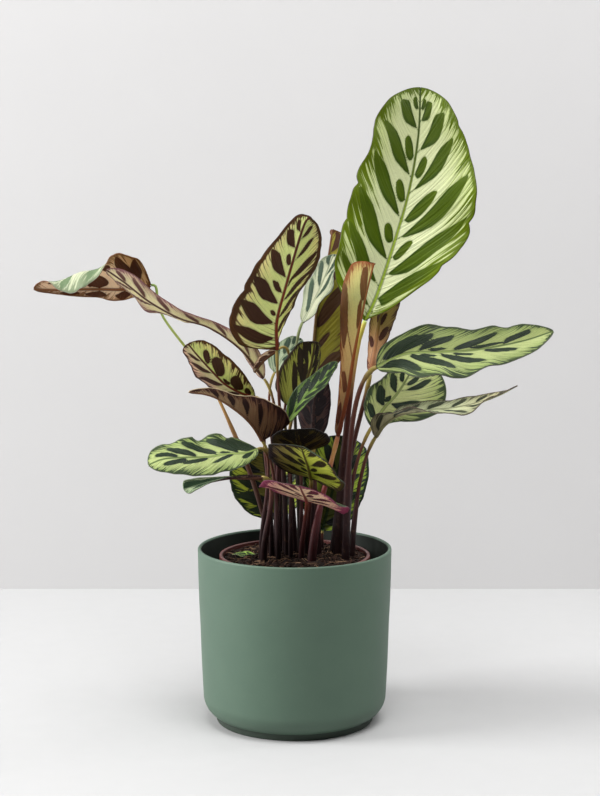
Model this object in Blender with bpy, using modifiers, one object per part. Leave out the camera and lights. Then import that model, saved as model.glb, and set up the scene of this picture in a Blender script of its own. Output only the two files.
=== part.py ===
"""A potted peacock plant: 25 leaves on their own stalks, potting soil, a nursery pot, a cover pot.

Tables and profiles are in millimetres and MM turns them into metres. +Z is up, the origin is the
centre of the cover pot's foot, and -Y is the front.
"""
import math
from dataclasses import dataclass

import bmesh
import bpy
import numpy as np

MM = 0.001

# Cover pot
RIM_R = 72.5
POT_HEIGHT = 132.0
WAIST_R = 70.5
WAIST_Z = 60.0
CORNER_R = 17.0
CORNER_Z = 20.0
BODY_FOOT_R = 68.8
FOOT_R = 59.6
FLOOR_Z = 6.0
WALL = 2.6
POT_STEPS = 48

# Nursery pot, which stands on the cover pot's floor
GAP = 0.3
NURSERY_RIM_R = 56.5
NURSERY_FOOT_R = 43.0
NURSERY_TOP = 126.5
NURSERY_WALL = 1.3
LIP = 1.2
LIP_HEIGHT = 9.0
DRAINS = 6
DRAIN_R = 4.0
DRAIN_RING_R = 28.0
NURSERY_STEPS = 40

# Soil
SOIL_TOP = 124.0
SOIL_RINGS = 6
SOIL_STEPS = 40
SOIL_LUMP = 1.1

# Leaves
BLADE = 1.4
EDGE_SHARE = 0.57
FLAT_BELOW = 6.0
ROW_LENGTH = 9.5
STALK_SINK = 16.0
STALK_CLEAR = 0.45
STALK_RISE = 3.0
STALK_STEP = 12.0
CURVE_SAMPLES = 200
BEND_SAMPLES = 48

TONES = {
    "fresh": (0.42, 0.52, 0.16),
    "olive": (0.16, 0.17, 0.05),
    "sage": (0.25, 0.36, 0.27),
    "cream": (0.55, 0.42, 0.30),
    "leaf": (0.20, 0.36, 0.10),
    "mauve": (0.38, 0.27, 0.26),
    "maroon": (0.12, 0.045, 0.055),
    "deep": (0.07, 0.13, 0.05),
}
STALK_COLOUR = (0.17, 0.07, 0.04)


@dataclass
class Leaf:
    """One leaf: a blade on its midrib, and the stalk that carries it.

    midrib runs from the blade's base to its tip. face is the way the upper side looks, left and
    right are half widths, and a bend is the fold and the further curl of that half in degrees.
    Rows of each are spread evenly along the midrib. A wave is its height, count and phase.
    foot is where the stalk leaves the soil, girth its radius there and at the blade.
    """

    midrib: tuple
    face: tuple
    left: tuple
    right: tuple
    left_bend: tuple
    right_bend: tuple
    left_wave: tuple
    right_wave: tuple
    foot: tuple
    girth: tuple
    tone: str
    via: tuple = ()
    lean: float = 0.3
    cap: float = 0.08


LEAVES = [
    Leaf(
        midrib=((53, 22, 300), (62, 24, 320), (75, 30, 359), (86, 38, 397), (93, 48, 437),
                (95, 60, 473)),
        face=((0.1, -1, 0.35), (0.0, -1, 0.3), (0.1, -1, 0.25)),
        left=(20, 37, 42, 43, 43, 37, 34, 16), left_bend=((15, 0), (15, 0), (10, 10)),
        right=(2, 22, 42, 52, 53, 43, 30, 15), right_bend=((15, 0), (8, 0), (10, 10)),
        left_wave=(2, 4.5, 0.1), right_wave=(3.5, 3.2, 0.35),
        foot=(33, 8), girth=(3.2, 1.5), tone="fresh"),
    Leaf(
        midrib=((-13, -12, 282), (-13, -18, 303), (-7, -26, 327), (1, -38, 356), (7, -48, 375),
                (11, -55, 381)),
        face=((-0.3, 0.95, 0.3), (-0.1, 1, 0.35), (0.2, 0.9, 0.5)),
        left=(3, 17, 22, 23, 23, 22, 15, 4), left_bend=((60, 0), (45, 0), (30, 0), (20, 0)),
        right=(22, 34, 34, 30, 25, 18, 12, 5), right_bend=((5, 0), (0, 0), (10, 0)),
        left_wave=(1.5, 3, 0.1), right_wave=(2, 2.6, 0.55),
        foot=(-6, 4), girth=(1.6, 1.0), tone="olive"),
    Leaf(
        midrib=((6, 28, 298), (13, 34, 310), (21, 44, 326), (30, 60, 347)),
        face=((-0.6, -0.7, 0.5), (-0.5, -0.7, 0.5)),
        left=(3, 8, 12, 12, 10, 6), left_bend=((10, 10),),
        right=(3, 11, 13, 13, 10, 5), right_bend=((10, 10),),
        left_wave=(2, 2.5, 0.1), right_wave=(2, 2.5, 0.6),
        foot=(4, 22), girth=(1.6, 1.0), tone="sage"),
    Leaf(
        midrib=((14, 36, 257), (15, 46, 283), (18, 58, 312), (25, 70, 340), (29, 78, 365)),
        face=((0.2, 0.9, 0.2), (0.2, 0.9, 0.2)),
        left=(12, 28, 30, 28, 24, 14), left_bend=((10, 0), (10, 10)),
        right=(4, 10, 12, 12, 10, 6), right_bend=((80, 20), (80, 20)),
        left_wave=(0, 3, 0), right_wave=(0, 3, 0),
        foot=(13, 21), girth=(2.2, 1.3), tone="olive"),
    Leaf(
        midrib=((32, -12, 218), (39, -14, 249), (43, -14, 275), (48, -13, 301), (53, -12, 325),
                (58, -10, 345)),
        face=((0.2, 0.9, 0.1), (0.2, 0.9, 0.1)),
        left=(2, 5, 7, 9, 11, 12, 12, 10), left_bend=((100, 40), (100, 40)),
        right=(3, 6, 9, 11, 15, 19, 21, 16), right_bend=((0, 50), (0, 40), (0, 30)),
        left_wave=(0, 3, 0), right_wave=(0, 3, 0),
        foot=(13, -16), girth=(2.6, 1.5), cap=0.04, tone="cream"),
    Leaf(
        midrib=((57, 28, 259), (61, 32, 281), (65, 38, 301), (73, 44, 321)),
        face=((-0.2, 0.9, 0.1),),
        left=(2, 8, 12, 14, 15, 13), left_bend=((0, 60), (0, 40)),
        right=(2, 6, 8, 9, 9, 7), right_bend=((20, 80), (20, 60)),
        left_wave=(0, 3, 0), right_wave=(0, 3, 0),
        foot=(30, 22), girth=(2.4, 1.5), tone="olive"),
    Leaf(
        midrib=((61, 5, 267), (81, 0, 277), (106, -5, 279), (133, -8, 281), (167, -5, 287),
                (191, 0, 294)),
        face=((0.0, -0.8, 0.6), (0.1, -0.8, 0.6), (0, -0.75, 0.6)),
        left=(9, 16, 23, 22, 18, 18, 15, 7), left_bend=((10, 0), (0, 0), (-10, 0)),
        right=(9, 16, 25, 24, 21, 16, 12, 4), right_bend=((10, 0), (10, 0)),
        left_wave=(1.5, 3, 0.4), right_wave=(3, 3.5, 0.1),
        foot=(38, -4), girth=(2.4, 1.6), tone="leaf"),
    Leaf(
        midrib=((58, 18, 220), (67, 24, 233), (77, 30, 243), (86, 36, 256), (94, 42, 271)),
        face=((0.1, -0.9, 0.4), (0.1, -0.9, 0.4)),
        left=(8, 17, 20, 20, 19, 16, 12, 6), left_bend=((20, 20), (35, 10)),
        right=(2, 10, 19, 28, 34, 34, 27, 12), right_bend=((0, 10), (0, 0)),
        left_wave=(0, 3, 0), right_wave=(2.5, 2.2, 0.3),
        foot=(38, 15), girth=(1.8, 1.2), tone="sage"),
    Leaf(
        midrib=((61, 10, 214), (67, 2, 224), (78, -6, 233), (96, -14, 237), (114, -18, 239),
                (132, -20, 243), (149, -20, 249), (163, -18, 256)),
        face=((-0.2, 0.0, 0.9), (0, -0.3, 0.9), (0, -0.5, 0.8), (0, 0.3, 0.9)),
        left=(4, 8, 9, 8, 8, 7, 5, 2), left_bend=((20, 20), (10, 10)),
        right=(6, 12, 13, 15, 16, 10, 5, 2), right_bend=((50, 20), (20, 10), (20, 10)),
        left_wave=(1.5, 2.5, 0.2), right_wave=(2, 2.5, 0.1),
        foot=(43, 5), girth=(1.8, 1.2), tone="sage"),
    Leaf(
        midrib=((-109, 40, 325), (-129, 40, 322), (-147, 40, 322), (-165, 38, 322),
                (-183, 34, 322), (-196, 30, 323)),
        face=((0, 0.9, 0.35), (0, 0.95, 0.2), (0, 1, 0.05), (0, 1, 0.1)),
        left=(20, 30, 36, 43, 44, 35, 18, 5), left_bend=((0, -5), (0, -25), (0, -105), (-5, -155), (-10, -150), (0, -40)),
        right=(4, 9, 9, 8, 6, 5, 3, 2), right_bend=((0, 10),),
        left_wave=(2, 3.2, 0.2), right_wave=(1.5, 3.4, 0.6),
        foot=(-19, 10), girth=(1.5, 0.9), via=((-56, 18, 239), (-99, 34, 301)), cap=0.06, tone="cream"),
    Leaf(
        midrib=((-23, 8, 258), (-40, 8, 280), (-63, 8, 296), (-85, 8, 303), (-107, 8, 315),
                (-125, 8, 329), (-139, 8, 339)),
        face=((0, 0.6, 0.8), (0, 0.5, 0.85), (0, 0.75, 0.65), (0, 0.9, 0.5)),
        left=(5, 10, 8, 6, 7, 8, 9, 5), left_bend=((20, 20),),
        right=(5, 9, 8, 8, 13, 14, 11, 6), right_bend=((20, 20),),
        left_wave=(1.5, 3, 0.2), right_wave=(1.5, 3, 0.6),
        foot=(-14, 4), girth=(1.6, 1.0), tone="mauve"),
    Leaf(
        midrib=((-29, -20, 248), (-39, -26, 252), (-50, -32, 259), (-60, -38, 270),
                (-70, -43, 282), (-76, -46, 290)),
        face=((0.1, 0.9, 0.4), (0.1, 0.9, 0.4)),
        left=(3, 11, 16, 17, 16, 14, 9), left_bend=((0, 10), (0, 20)),
        right=(3, 9, 14, 16, 15, 12, 8), right_bend=((10, 20),),
        left_wave=(0, 3, 0), right_wave=(0, 3, 0),
        foot=(-17, -2), girth=(1.6, 1.0), via=((-22, -6, 205),), tone="olive"),
    Leaf(
        midrib=((-24, -16, 215), (-32, -26, 229), (-43, -38, 241), (-58, -50, 252), (-75, -58, 257)),
        face=((0, 0.9, 0.3), (0, 0.9, 0.3)),
        left=(24, 27, 24, 15, 9, 6, 2), left_bend=((5, -10),),
        right=(8, 14, 14, 10, 6, 4, 2), right_bend=((110, 10), (90, 10)),
        left_wave=(0, 3, 0), right_wave=(0, 3, 0),
        foot=(-12, -10), girth=(1.6, 1.0), tone="maroon"),
    Leaf(
        midrib=((0, 2, 235), (6, 0, 250), (12, -3, 269), (15, -6, 287)),
        face=((0, 1, 0.2),),
        left=(5, 12, 13, 11, 9, 6), left_bend=((40, 20),),
        right=(9, 20, 22, 21, 17, 11), right_bend=((0, 0),),
        left_wave=(0, 3, 0), right_wave=(0, 3, 0),
        foot=(0, 12), girth=(1.8, 1.2), tone="deep"),
    Leaf(
        midrib=((-5, -16, 229), (6, -20, 246), (19, -22, 259), (31, -22, 274)),
        face=((-0.4, -0.7, 0.5),),
        left=(3, 8, 10, 9, 7, 3), left_bend=((10, 30),),
        right=(3, 8, 10, 10, 8, 3), right_bend=((10, 30),),
        left_wave=(0, 3, 0), right_wave=(0, 3, 0),
        foot=(-3, -5), girth=(1.4, 0.9), via=((-3, -1, 205),), tone="deep"),
    Leaf(
        midrib=((14, 8, 212), (14, 11, 231), (16, 14, 250), (17, 15, 261)),
        face=((0.1, 1, 0.1),),
        left=(6, 11, 13, 13, 11, 6), left_bend=((10, 20),),
        right=(6, 11, 13, 13, 11, 6), right_bend=((10, 20),),
        left_wave=(0, 3, 0), right_wave=(0, 3, 0),
        foot=(18, 6), girth=(1.8, 1.2), tone="maroon"),
    Leaf(
        midrib=((-27, -30, 211), (-36, -42, 210), (-48, -52, 211), (-62, -60, 210),
                (-77, -68, 211), (-92, -74, 211), (-103, -76, 207)),
        face=((-0.2, -0.7, 0.7), (-0.2, -0.7, 0.7)),
        left=(3, 8, 12, 13, 14, 13, 11, 6), left_bend=((-15, -30), (-15, -10)),
        right=(8, 18, 17, 18, 17, 15, 12, 8), right_bend=((10, 0), (10, 0)),
        left_wave=(2, 3, 0.3), right_wave=(2, 3.5, 0.1),
        foot=(-25, -6), girth=(1.5, 1.0), tone="leaf"),
    Leaf(
        midrib=((-24, -32, 190), (-36, -42, 192), (-48, -50, 193), (-62, -56, 191), (-79, -62, 187)),
        face=((0, 0.8, 0.5), (0, 0, 1), (0, -0.7, 0.7)),
        left=(2, 3, 3, 4, 6, 8), left_bend=((40, 20), (10, 10)),
        right=(2, 3, 3, 4, 6, 7), right_bend=((40, 20), (10, 10)),
        left_wave=(0, 3, 0), right_wave=(0, 3, 0),
        foot=(-23, -14), girth=(2.0, 1.6), cap=0.05, tone="leaf"),
    Leaf(
        midrib=((-13, 34, 146), (-17, 36, 161), (-22, 38, 180), (-25, 40, 200)),
        face=((0, -1, 0.1),),
        left=(9, 22, 28, 30, 28, 17), left_bend=((10, 20),),
        right=(12, 25, 30, 31, 28, 17), right_bend=((10, 20),),
        left_wave=(0, 3, 0), right_wave=(0, 3, 0),
        foot=(-10, 30), girth=(2, 1.4), cap=0.14, tone="deep"),
    Leaf(
        midrib=((21, 36, 137), (27, 38, 160), (33, 40, 183), (39, 42, 209)),
        face=((0, -1, 0.1),),
        left=(10, 21, 25, 26, 23, 16), left_bend=((10, 20),),
        right=(10, 21, 25, 26, 23, 16), right_bend=((10, 20),),
        left_wave=(0, 3, 0), right_wave=(0, 3, 0),
        foot=(20, 34), girth=(2, 1.4), tone="deep"),
    Leaf(
        midrib=((12, -28, 189), (10, -52, 202), (7, -68, 213), (5, -80, 221)),
        face=((0, 0.5, 0.85),),
        left=(10, 24, 31, 32, 28, 18), left_bend=((-20, -30),),
        right=(9, 26, 29, 29, 27, 20), right_bend=((15, 0),),
        left_wave=(0, 3, 0), right_wave=(0, 3, 0),
        foot=(9, 2), girth=(1.8, 1.2), tone="maroon"),
    Leaf(
        midrib=((9, -28, 172), (8, -45, 178), (6, -62, 185), (4, -76, 192)),
        face=((0, 0.3, 0.95),),
        left=(12, 28, 34, 33, 27, 15), left_bend=((-12, -15),),
        right=(12, 28, 34, 33, 27, 15), right_bend=((15, 0),),
        left_wave=(0, 3, 0), right_wave=(0, 3, 0),
        foot=(5, -10), girth=(1.8, 1.2), cap=0.14, tone="maroon"),
    Leaf(
        midrib=((4, -6, 205), (3, -20, 213), (2, -32, 221), (1, -40, 227)),
        face=((0, 0.6, 0.8),),
        left=(10, 20, 24, 23, 19, 11), left_bend=((0, 10),),
        right=(9, 17, 20, 20, 17, 10), right_bend=((0, 10),),
        left_wave=(0, 3, 0), right_wave=(0, 3, 0),
        foot=(5, -3), girth=(1.6, 1.1), tone="maroon"),
    Leaf(
        midrib=((-15, 30, 260), (-9, 36, 270), (-4, 42, 275), (4, 48, 284)),
        face=((-0.3, -0.8, 0.5),),
        left=(4, 10, 12, 11, 9, 5), left_bend=((10, 10),),
        right=(4, 10, 12, 11, 9, 5), right_bend=((10, 10),),
        left_wave=(0, 3, 0), right_wave=(0, 3, 0),
        foot=(-8, 20), girth=(1.3, 0.9), tone="sage"),
    Leaf(
        midrib=((-13, 0, 280), (-22, -2, 273), (-30, -4, 264)),
        face=((0, 0.7, 0.7),),
        left=(2, 4, 5, 4, 2), left_bend=((30, 85),),
        right=(2, 4, 5, 4, 2), right_bend=((30, 85),),
        left_wave=(0, 3, 0), right_wave=(0, 3, 0),
        foot=(-11, 13), girth=(1.3, 0.9), via=((-11, 9, 200),), tone="cream"),
]

FALLEN = Leaf(
    midrib=((-26, 3, 125.2), (-33, 4, 125.5), (-40, 5, 125.5), (-47, 8, 125.2)),
    face=((0, 0, 1),),
    left=(2, 5, 6, 5, 2), left_bend=((4, 10),),
    right=(2, 4, 6, 5, 2), right_bend=((4, 10),),
    left_wave=(0.4, 3, 0.1), right_wave=(0.4, 2, 0.4),
    foot=(0, 0), girth=(1, 1), tone="leaf")


def unit(v):
    """Each row scaled to length 1."""
    return v / np.linalg.norm(v, axis=-1, keepdims=True)


def spline(rows, t):
    """A smooth curve through the rows, read at t from 0 to 1."""
    p = np.asarray(rows, float)
    if len(p) == 1:
        return np.repeat(p, len(t), axis=0)
    q = np.vstack([2 * p[0] - p[1], p, 2 * p[-1] - p[-2]])
    x = np.clip(t, 0, 1) * (len(p) - 1)
    i = np.minimum(x.astype(int), len(p) - 2)
    f = (x - i)[:, None]
    a, b, c, d = q[i], q[i + 1], q[i + 2], q[i + 3]
    return 0.5 * (2 * b + (c - a) * f + (2 * a - 5 * b + 4 * c - d) * f**2 + (3 * b - a - 3 * c + d) * f**3)


def along(rows, share):
    """Points and directions at shares of the curve's length, and that length."""
    curve = spline(rows, np.linspace(0, 1, CURVE_SAMPLES))
    steps = np.linalg.norm(np.diff(curve, axis=0), axis=1)
    length = np.concatenate([[0], np.cumsum(steps)])
    slope = np.gradient(curve, axis=0)
    at = share * length[-1]
    points = np.stack([np.interp(at, length, curve[:, k]) for k in range(3)], axis=1)
    ways = np.stack([np.interp(at, length, slope[:, k]) for k in range(3)], axis=1)
    return points, unit(ways), length[-1]


def half_blade(u, t, widths, bend, wave, cap):
    """How far one half of a blade lies to its side and above its midrib, rows along, columns out."""
    ends = np.clip(u / cap, 0, 1), np.clip((1 - u) / cap, 0, 1)
    half = spline(np.reshape(widths, (-1, 1)), u)[:, 0]
    half = half * np.sqrt(1 - (1 - ends[0]) ** 2) * np.sqrt(1 - (1 - ends[1]) ** 2)
    half = np.maximum(half, 1.0)
    fold, curl = np.radians(spline(bend, u)).T * np.clip(half / FLAT_BELOW, 0, 1)
    mid = (np.arange(BEND_SAMPLES) + 0.5) / BEND_SAMPLES
    angle = fold[:, None] + curl[:, None] * mid
    start = np.zeros((len(u), 1))
    out = np.hstack([start, np.cumsum(np.cos(angle), axis=1)]) * half[:, None] / BEND_SAMPLES
    up = np.hstack([start, np.cumsum(np.sin(angle), axis=1)]) * half[:, None] / BEND_SAMPLES
    knots = np.linspace(0, 1, BEND_SAMPLES + 1)
    out = np.stack([np.interp(t, knots, row) for row in out])
    up = np.stack([np.interp(t, knots, row) for row in up])
    angle = fold[:, None] + curl[:, None] * t
    height, count, phase = wave
    swing = np.sin(2 * math.pi * (count * u + phase)) * height * half / max(widths)
    ripple = swing[:, None] * t**2
    return out - np.sin(angle) * ripple, up + np.cos(angle) * ripple


def blade_points(leaf, rows, columns):
    """A blade's middle surface: rows + 1 by 2 * columns + 1 points, from its left edge to its right."""
    k = np.arange(rows + 1) / rows
    u = 0.35 * k + 0.65 * (0.5 - 0.5 * np.cos(math.pi * k))
    t = np.linspace(0, 1, columns + 1)
    rib, way, length = along(leaf.midrib, u)
    face = spline(leaf.face, u)
    normal = unit(face - (face * way).sum(axis=1, keepdims=True) * way)
    side = np.cross(way, normal)
    left = half_blade(u, t, leaf.left, leaf.left_bend, leaf.left_wave, leaf.cap)
    right = half_blade(u, t, leaf.right, leaf.right_bend, leaf.right_wave, leaf.cap)
    across = np.hstack([-left[0][:, :0:-1], right[0]])
    above = np.hstack([left[1][:, :0:-1], right[1]])
    return rib[:, None] + across[..., None] * side[:, None] + above[..., None] * normal[:, None]


def stalk_points(leaf):
    """A stalk's centre line, upright in the soil and in line with the midrib where it ends."""
    base, way, length = along(leaf.midrib, np.array([0.0]))
    root = np.array([*leaf.foot, SOIL_TOP - STALK_SINK])
    knots = [np.array([*leaf.foot, SOIL_TOP + STALK_RISE])]
    knots += [np.array(p, float) for p in leaf.via]
    knots.append(base[0] - way[0] * STALK_CLEAR)
    slopes = []
    for k, knot in enumerate(knots):
        if k == 0:
            run = knots[1] - knot
            slopes.append(unit(run * (leaf.lean, leaf.lean, 1)) * np.linalg.norm(run))
        elif k == len(knots) - 1:
            run = knot - knots[-2]
            slopes.append(way[0] * min(0.9 * np.linalg.norm(run), 80))
        else:
            slopes.append((knots[k + 1] - knots[k - 1]) / 2)
    points = [root]
    for a, b, at_a, at_b in zip(knots, knots[1:], slopes, slopes[1:]):
        count = max(4, round(np.linalg.norm(b - a) / STALK_STEP))
        for s in np.arange(count) / count:
            points.append((2 * s**3 - 3 * s**2 + 1) * a + (s**3 - 2 * s**2 + s) * at_a
                          + (3 * s**2 - 2 * s**3) * b + (s**3 - s**2) * at_b)
    points.append(knots[-1])
    return points


def material(name, colour, roughness):
    """A plain finish with the part's own colour and roughness."""
    made = bpy.data.materials.new(name)
    made.use_nodes = True
    shader = made.node_tree.nodes["Principled BSDF"]
    shader.inputs["Base Color"].default_value = (*colour, 1)
    shader.inputs["Roughness"].default_value = roughness
    shader.inputs["Metallic"].default_value = 0
    return made


def add(name, data, collection, colour=None, roughness=0.5):
    """An object in a collection, with its own material unless it is a cutter."""
    made = bpy.data.objects.new(name, data)
    collection.objects.link(made)
    if colour:
        data.materials.append(material(name, colour, roughness))
    return made


def turned(name, profile, steps, collection, colour, roughness):
    """A round shape: a profile in millimetres, turned about the Z axis."""
    mesh = bpy.data.meshes.new(name)
    bm = bmesh.new()
    verts = [bm.verts.new((r * MM, 0, z * MM)) for r, z in profile]
    for a, b in zip(verts, verts[1:]):
        bm.edges.new((a, b))
    bm.to_mesh(mesh)
    bm.free()
    made = add(name, mesh, collection, colour, roughness)
    screw = made.modifiers.new("turn", "SCREW")
    screw.steps = steps
    screw.render_steps = steps
    screw.use_merge_vertices = True
    screw.merge_threshold = 0.00001
    screw.use_smooth_shade = True
    return made


def arc(centre, radius, start, end, count):
    """Points of an arc in the profile's plane, angles in degrees."""
    angles = np.radians(np.linspace(start, end, count))
    return [(centre[0] + radius * math.cos(a), centre[1] + radius * math.sin(a)) for a in angles]


def cutter(name, radius, low, high, x, y, sides, collection):
    """An upright cylinder that the build leaves out, in millimetres."""
    mesh = bpy.data.meshes.new(name)
    bm = bmesh.new()
    bmesh.ops.create_cone(bm, cap_ends=True, segments=sides, radius1=radius * MM,
                          radius2=radius * MM, depth=(high - low) * MM)
    bm.to_mesh(mesh)
    bm.free()
    made = add(name, mesh, collection)
    made.location = (x * MM, y * MM, (low + high) / 2 * MM)
    made.hide_render = True
    made.display_type = "WIRE"
    return made


def cut(target, tool):
    """The tool's shape taken out of the target."""
    boolean = target.modifiers.new(tool.name, "BOOLEAN")
    boolean.operation = "DIFFERENCE"
    boolean.solver = "EXACT"
    boolean.object = tool


def make_cover_pot(parts):
    """A plain cylinder with a round lower edge on a slightly narrower foot."""
    corner = (BODY_FOOT_R - CORNER_R, CORNER_Z)
    inner_corner = CORNER_R - WALL
    lip = WALL / 2
    profile = [(0, FLOOR_Z)]
    profile += arc((BODY_FOOT_R - CORNER_R, FLOOR_Z + inner_corner), inner_corner, -90, 0, 5)
    profile += [(WAIST_R - WALL, WAIST_Z)]
    profile += arc((RIM_R - lip, POT_HEIGHT - lip), lip, 180, 0, 6)
    profile += [(WAIST_R, WAIST_Z)]
    reach = -math.degrees(math.acos((FOOT_R - corner[0]) / CORNER_R))
    profile += arc(corner, CORNER_R, 0, reach, 6)
    profile += [(FOOT_R, 0), (0, 0)]
    return turned("cover_pot", profile, POT_STEPS, parts, (0.13, 0.21, 0.16), 0.55)


def make_nursery_pot(parts, cutters):
    """A thin tapered pot with a lip and drain holes, standing inside the cover pot."""
    low = FLOOR_Z + GAP
    floor = low + NURSERY_WALL
    inner_foot = NURSERY_FOOT_R - NURSERY_WALL
    inner_rim = NURSERY_RIM_R - LIP - NURSERY_WALL
    profile = [
        (0, floor),
        (inner_foot, floor),
        (inner_rim, NURSERY_TOP),
        (NURSERY_RIM_R - 0.3, NURSERY_TOP),
        (NURSERY_RIM_R, NURSERY_TOP - 0.6),
        (NURSERY_RIM_R, NURSERY_TOP - LIP_HEIGHT),
        (NURSERY_RIM_R - LIP, NURSERY_TOP - LIP_HEIGHT - 0.4),
        (NURSERY_FOOT_R, low + 1.5),
        (NURSERY_FOOT_R - 1.5, low),
        (0, low),
    ]
    pot = turned("nursery_pot", profile, NURSERY_STEPS, parts, (0.22, 0.07, 0.04), 0.5)
    for k in range(DRAINS):
        turn = 2 * math.pi * k / DRAINS
        x = DRAIN_RING_R * math.cos(turn)
        y = DRAIN_RING_R * math.sin(turn)
        cut(pot, cutter(f"drain_{k}", DRAIN_R, low - 1, floor + 1, x, y, 10, cutters))
    return pot


def soil_lump(x, y):
    """How far the soil's surface rises over its level, in millimetres."""
    waves = math.sin(0.21 * x + 0.8) * math.cos(0.17 * y) + 0.6 * math.sin(0.37 * y - 0.29 * x)
    return SOIL_LUMP * waves / 1.6 - 0.5 * SOIL_LUMP


def make_soil(parts, cutters):
    """Packed soil with a gently lumpy top, and a plain hole for each stalk."""
    low = FLOOR_Z + GAP + NURSERY_WALL + GAP
    slope = (NURSERY_RIM_R - LIP - NURSERY_FOOT_R) / (NURSERY_TOP - low)
    foot = NURSERY_FOOT_R - NURSERY_WALL - 2 * GAP
    top = foot + slope * (SOIL_TOP - low)
    profile = [(top * k / SOIL_RINGS, SOIL_TOP) for k in range(SOIL_RINGS + 1)]
    profile += [(foot, low), (0, low)]
    soil = turned("soil", profile, SOIL_STEPS, parts, (0.03, 0.02, 0.012), 0.95)
    graph = bpy.context.evaluated_depsgraph_get()
    mesh = bpy.data.meshes.new_from_object(soil.evaluated_get(graph))
    soil.modifiers.clear()
    for vert in mesh.vertices:
        x, y, z = (c / MM for c in vert.co)
        if z > SOIL_TOP - 1 and math.hypot(x, y) < top - 1:
            vert.co.z += soil_lump(x, y) * MM
    soil.data = mesh
    for k, leaf in enumerate(LEAVES, 1):
        radius = (leaf.girth[0] + STALK_CLEAR) / math.cos(math.pi / 8)
        hole = cutter(f"hole_{k:02d}", radius, SOIL_TOP - STALK_SINK - GAP, SOIL_TOP + 5,
                      *leaf.foot, 8, cutters)
        cut(soil, hole)
    return soil


def make_blade(name, leaf, rows, columns, parts, colour):
    """A thin solid leaf blade, thickest along its midrib."""
    points = blade_points(leaf, rows, columns)
    mesh = bpy.data.meshes.new(name)
    bm = bmesh.new()
    bmesh.ops.create_grid(bm, x_segments=2 * columns, y_segments=rows, size=1)
    weight = bm.verts.layers.deform.verify()
    for vert in bm.verts:
        i = round((vert.co.y + 1) / 2 * rows)
        j = round((vert.co.x + 1) * columns)
        vert[weight][0] = 1.0 if j == columns else 0.0
        vert.co = points[i, j] * MM
    bmesh.ops.triangulate(bm, faces=bm.faces[:])
    bm.to_mesh(mesh)
    bm.free()
    mesh.shade_smooth()
    made = add(name, mesh, parts, colour, 0.4)
    made.vertex_groups.new(name="midrib")
    solid = made.modifiers.new("thickness", "SOLIDIFY")
    solid.thickness = BLADE * MM
    solid.offset = 0
    solid.vertex_group = "midrib"
    solid.thickness_vertex_group = EDGE_SHARE
    return made


def make_fallen_leaf(parts):
    """A small dry leaf that lies on the soil and follows its lumps."""
    blade = make_blade("fallen_leaf", FALLEN, 8, 2, parts, TONES[FALLEN.tone])
    for vert in blade.data.vertices:
        vert.co.z += soil_lump(vert.co.x / MM, vert.co.y / MM) * MM


def make_stalk(name, leaf, parts):
    """A round stalk that narrows from the soil to the blade."""
    points = stalk_points(leaf)
    curve = bpy.data.curves.new(name, "CURVE")
    curve.dimensions = "3D"
    curve.bevel_depth = MM
    curve.bevel_resolution = 1
    curve.use_fill_caps = True
    line = curve.splines.new("POLY")
    line.points.add(len(points) - 1)
    for k, point in enumerate(points):
        line.points[k].co = (*(point * MM), 1)
        line.points[k].radius = np.interp(k / (len(points) - 1), [0, 1], leaf.girth)
    line.use_smooth = True
    return add(name, curve, parts, STALK_COLOUR, 0.45)


def make_leaf(number, leaf, parts):
    """A leaf's blade and its stalk."""
    length = along(leaf.midrib, np.array([0.0]))[2]
    rows = max(8, round(length / ROW_LENGTH))
    columns = 3 if max(leaf.left) + max(leaf.right) > 24 else 2
    make_blade(f"leaf_{number:02d}_blade", leaf, rows, columns, parts, TONES[leaf.tone])
    make_stalk(f"leaf_{number:02d}_stalk", leaf, parts)


def main():
    for old in list(bpy.data.objects):
        bpy.data.objects.remove(old)
    parts = bpy.data.collections.new("potted_peacock_plant")
    cutters = bpy.data.collections.new("cutters")
    for collection in (parts, cutters):
        bpy.context.scene.collection.children.link(collection)
    make_cover_pot(parts)
    make_nursery_pot(parts, cutters)
    make_soil(parts, cutters)
    for number, leaf in enumerate(LEAVES, 1):
        make_leaf(number, leaf, parts)
    make_fallen_leaf(parts)


main()
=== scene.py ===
import math
import random
from dataclasses import dataclass

import bmesh
import bpy
import numpy as np
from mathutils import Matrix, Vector, noise


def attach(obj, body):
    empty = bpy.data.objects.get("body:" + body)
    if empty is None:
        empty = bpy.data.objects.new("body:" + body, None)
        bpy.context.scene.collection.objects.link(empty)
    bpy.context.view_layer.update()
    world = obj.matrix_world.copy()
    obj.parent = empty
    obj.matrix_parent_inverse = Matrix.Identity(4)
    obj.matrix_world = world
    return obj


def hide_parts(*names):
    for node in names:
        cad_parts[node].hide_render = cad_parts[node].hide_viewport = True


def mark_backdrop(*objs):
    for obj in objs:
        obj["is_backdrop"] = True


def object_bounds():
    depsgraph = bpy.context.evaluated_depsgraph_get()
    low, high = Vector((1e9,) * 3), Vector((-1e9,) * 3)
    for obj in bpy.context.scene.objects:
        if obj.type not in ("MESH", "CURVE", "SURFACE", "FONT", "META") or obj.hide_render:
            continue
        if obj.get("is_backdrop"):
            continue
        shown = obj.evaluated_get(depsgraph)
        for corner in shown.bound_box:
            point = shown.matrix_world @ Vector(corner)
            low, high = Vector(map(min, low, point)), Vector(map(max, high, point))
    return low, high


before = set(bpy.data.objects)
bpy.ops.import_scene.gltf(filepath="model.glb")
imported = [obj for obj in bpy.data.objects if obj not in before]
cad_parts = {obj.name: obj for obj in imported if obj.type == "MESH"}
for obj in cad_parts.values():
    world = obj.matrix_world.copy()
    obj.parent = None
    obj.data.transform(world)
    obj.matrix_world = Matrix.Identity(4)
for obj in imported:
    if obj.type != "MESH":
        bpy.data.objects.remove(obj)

CAD_LOW, CAD_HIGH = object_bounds()
MM = 0.001

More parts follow.
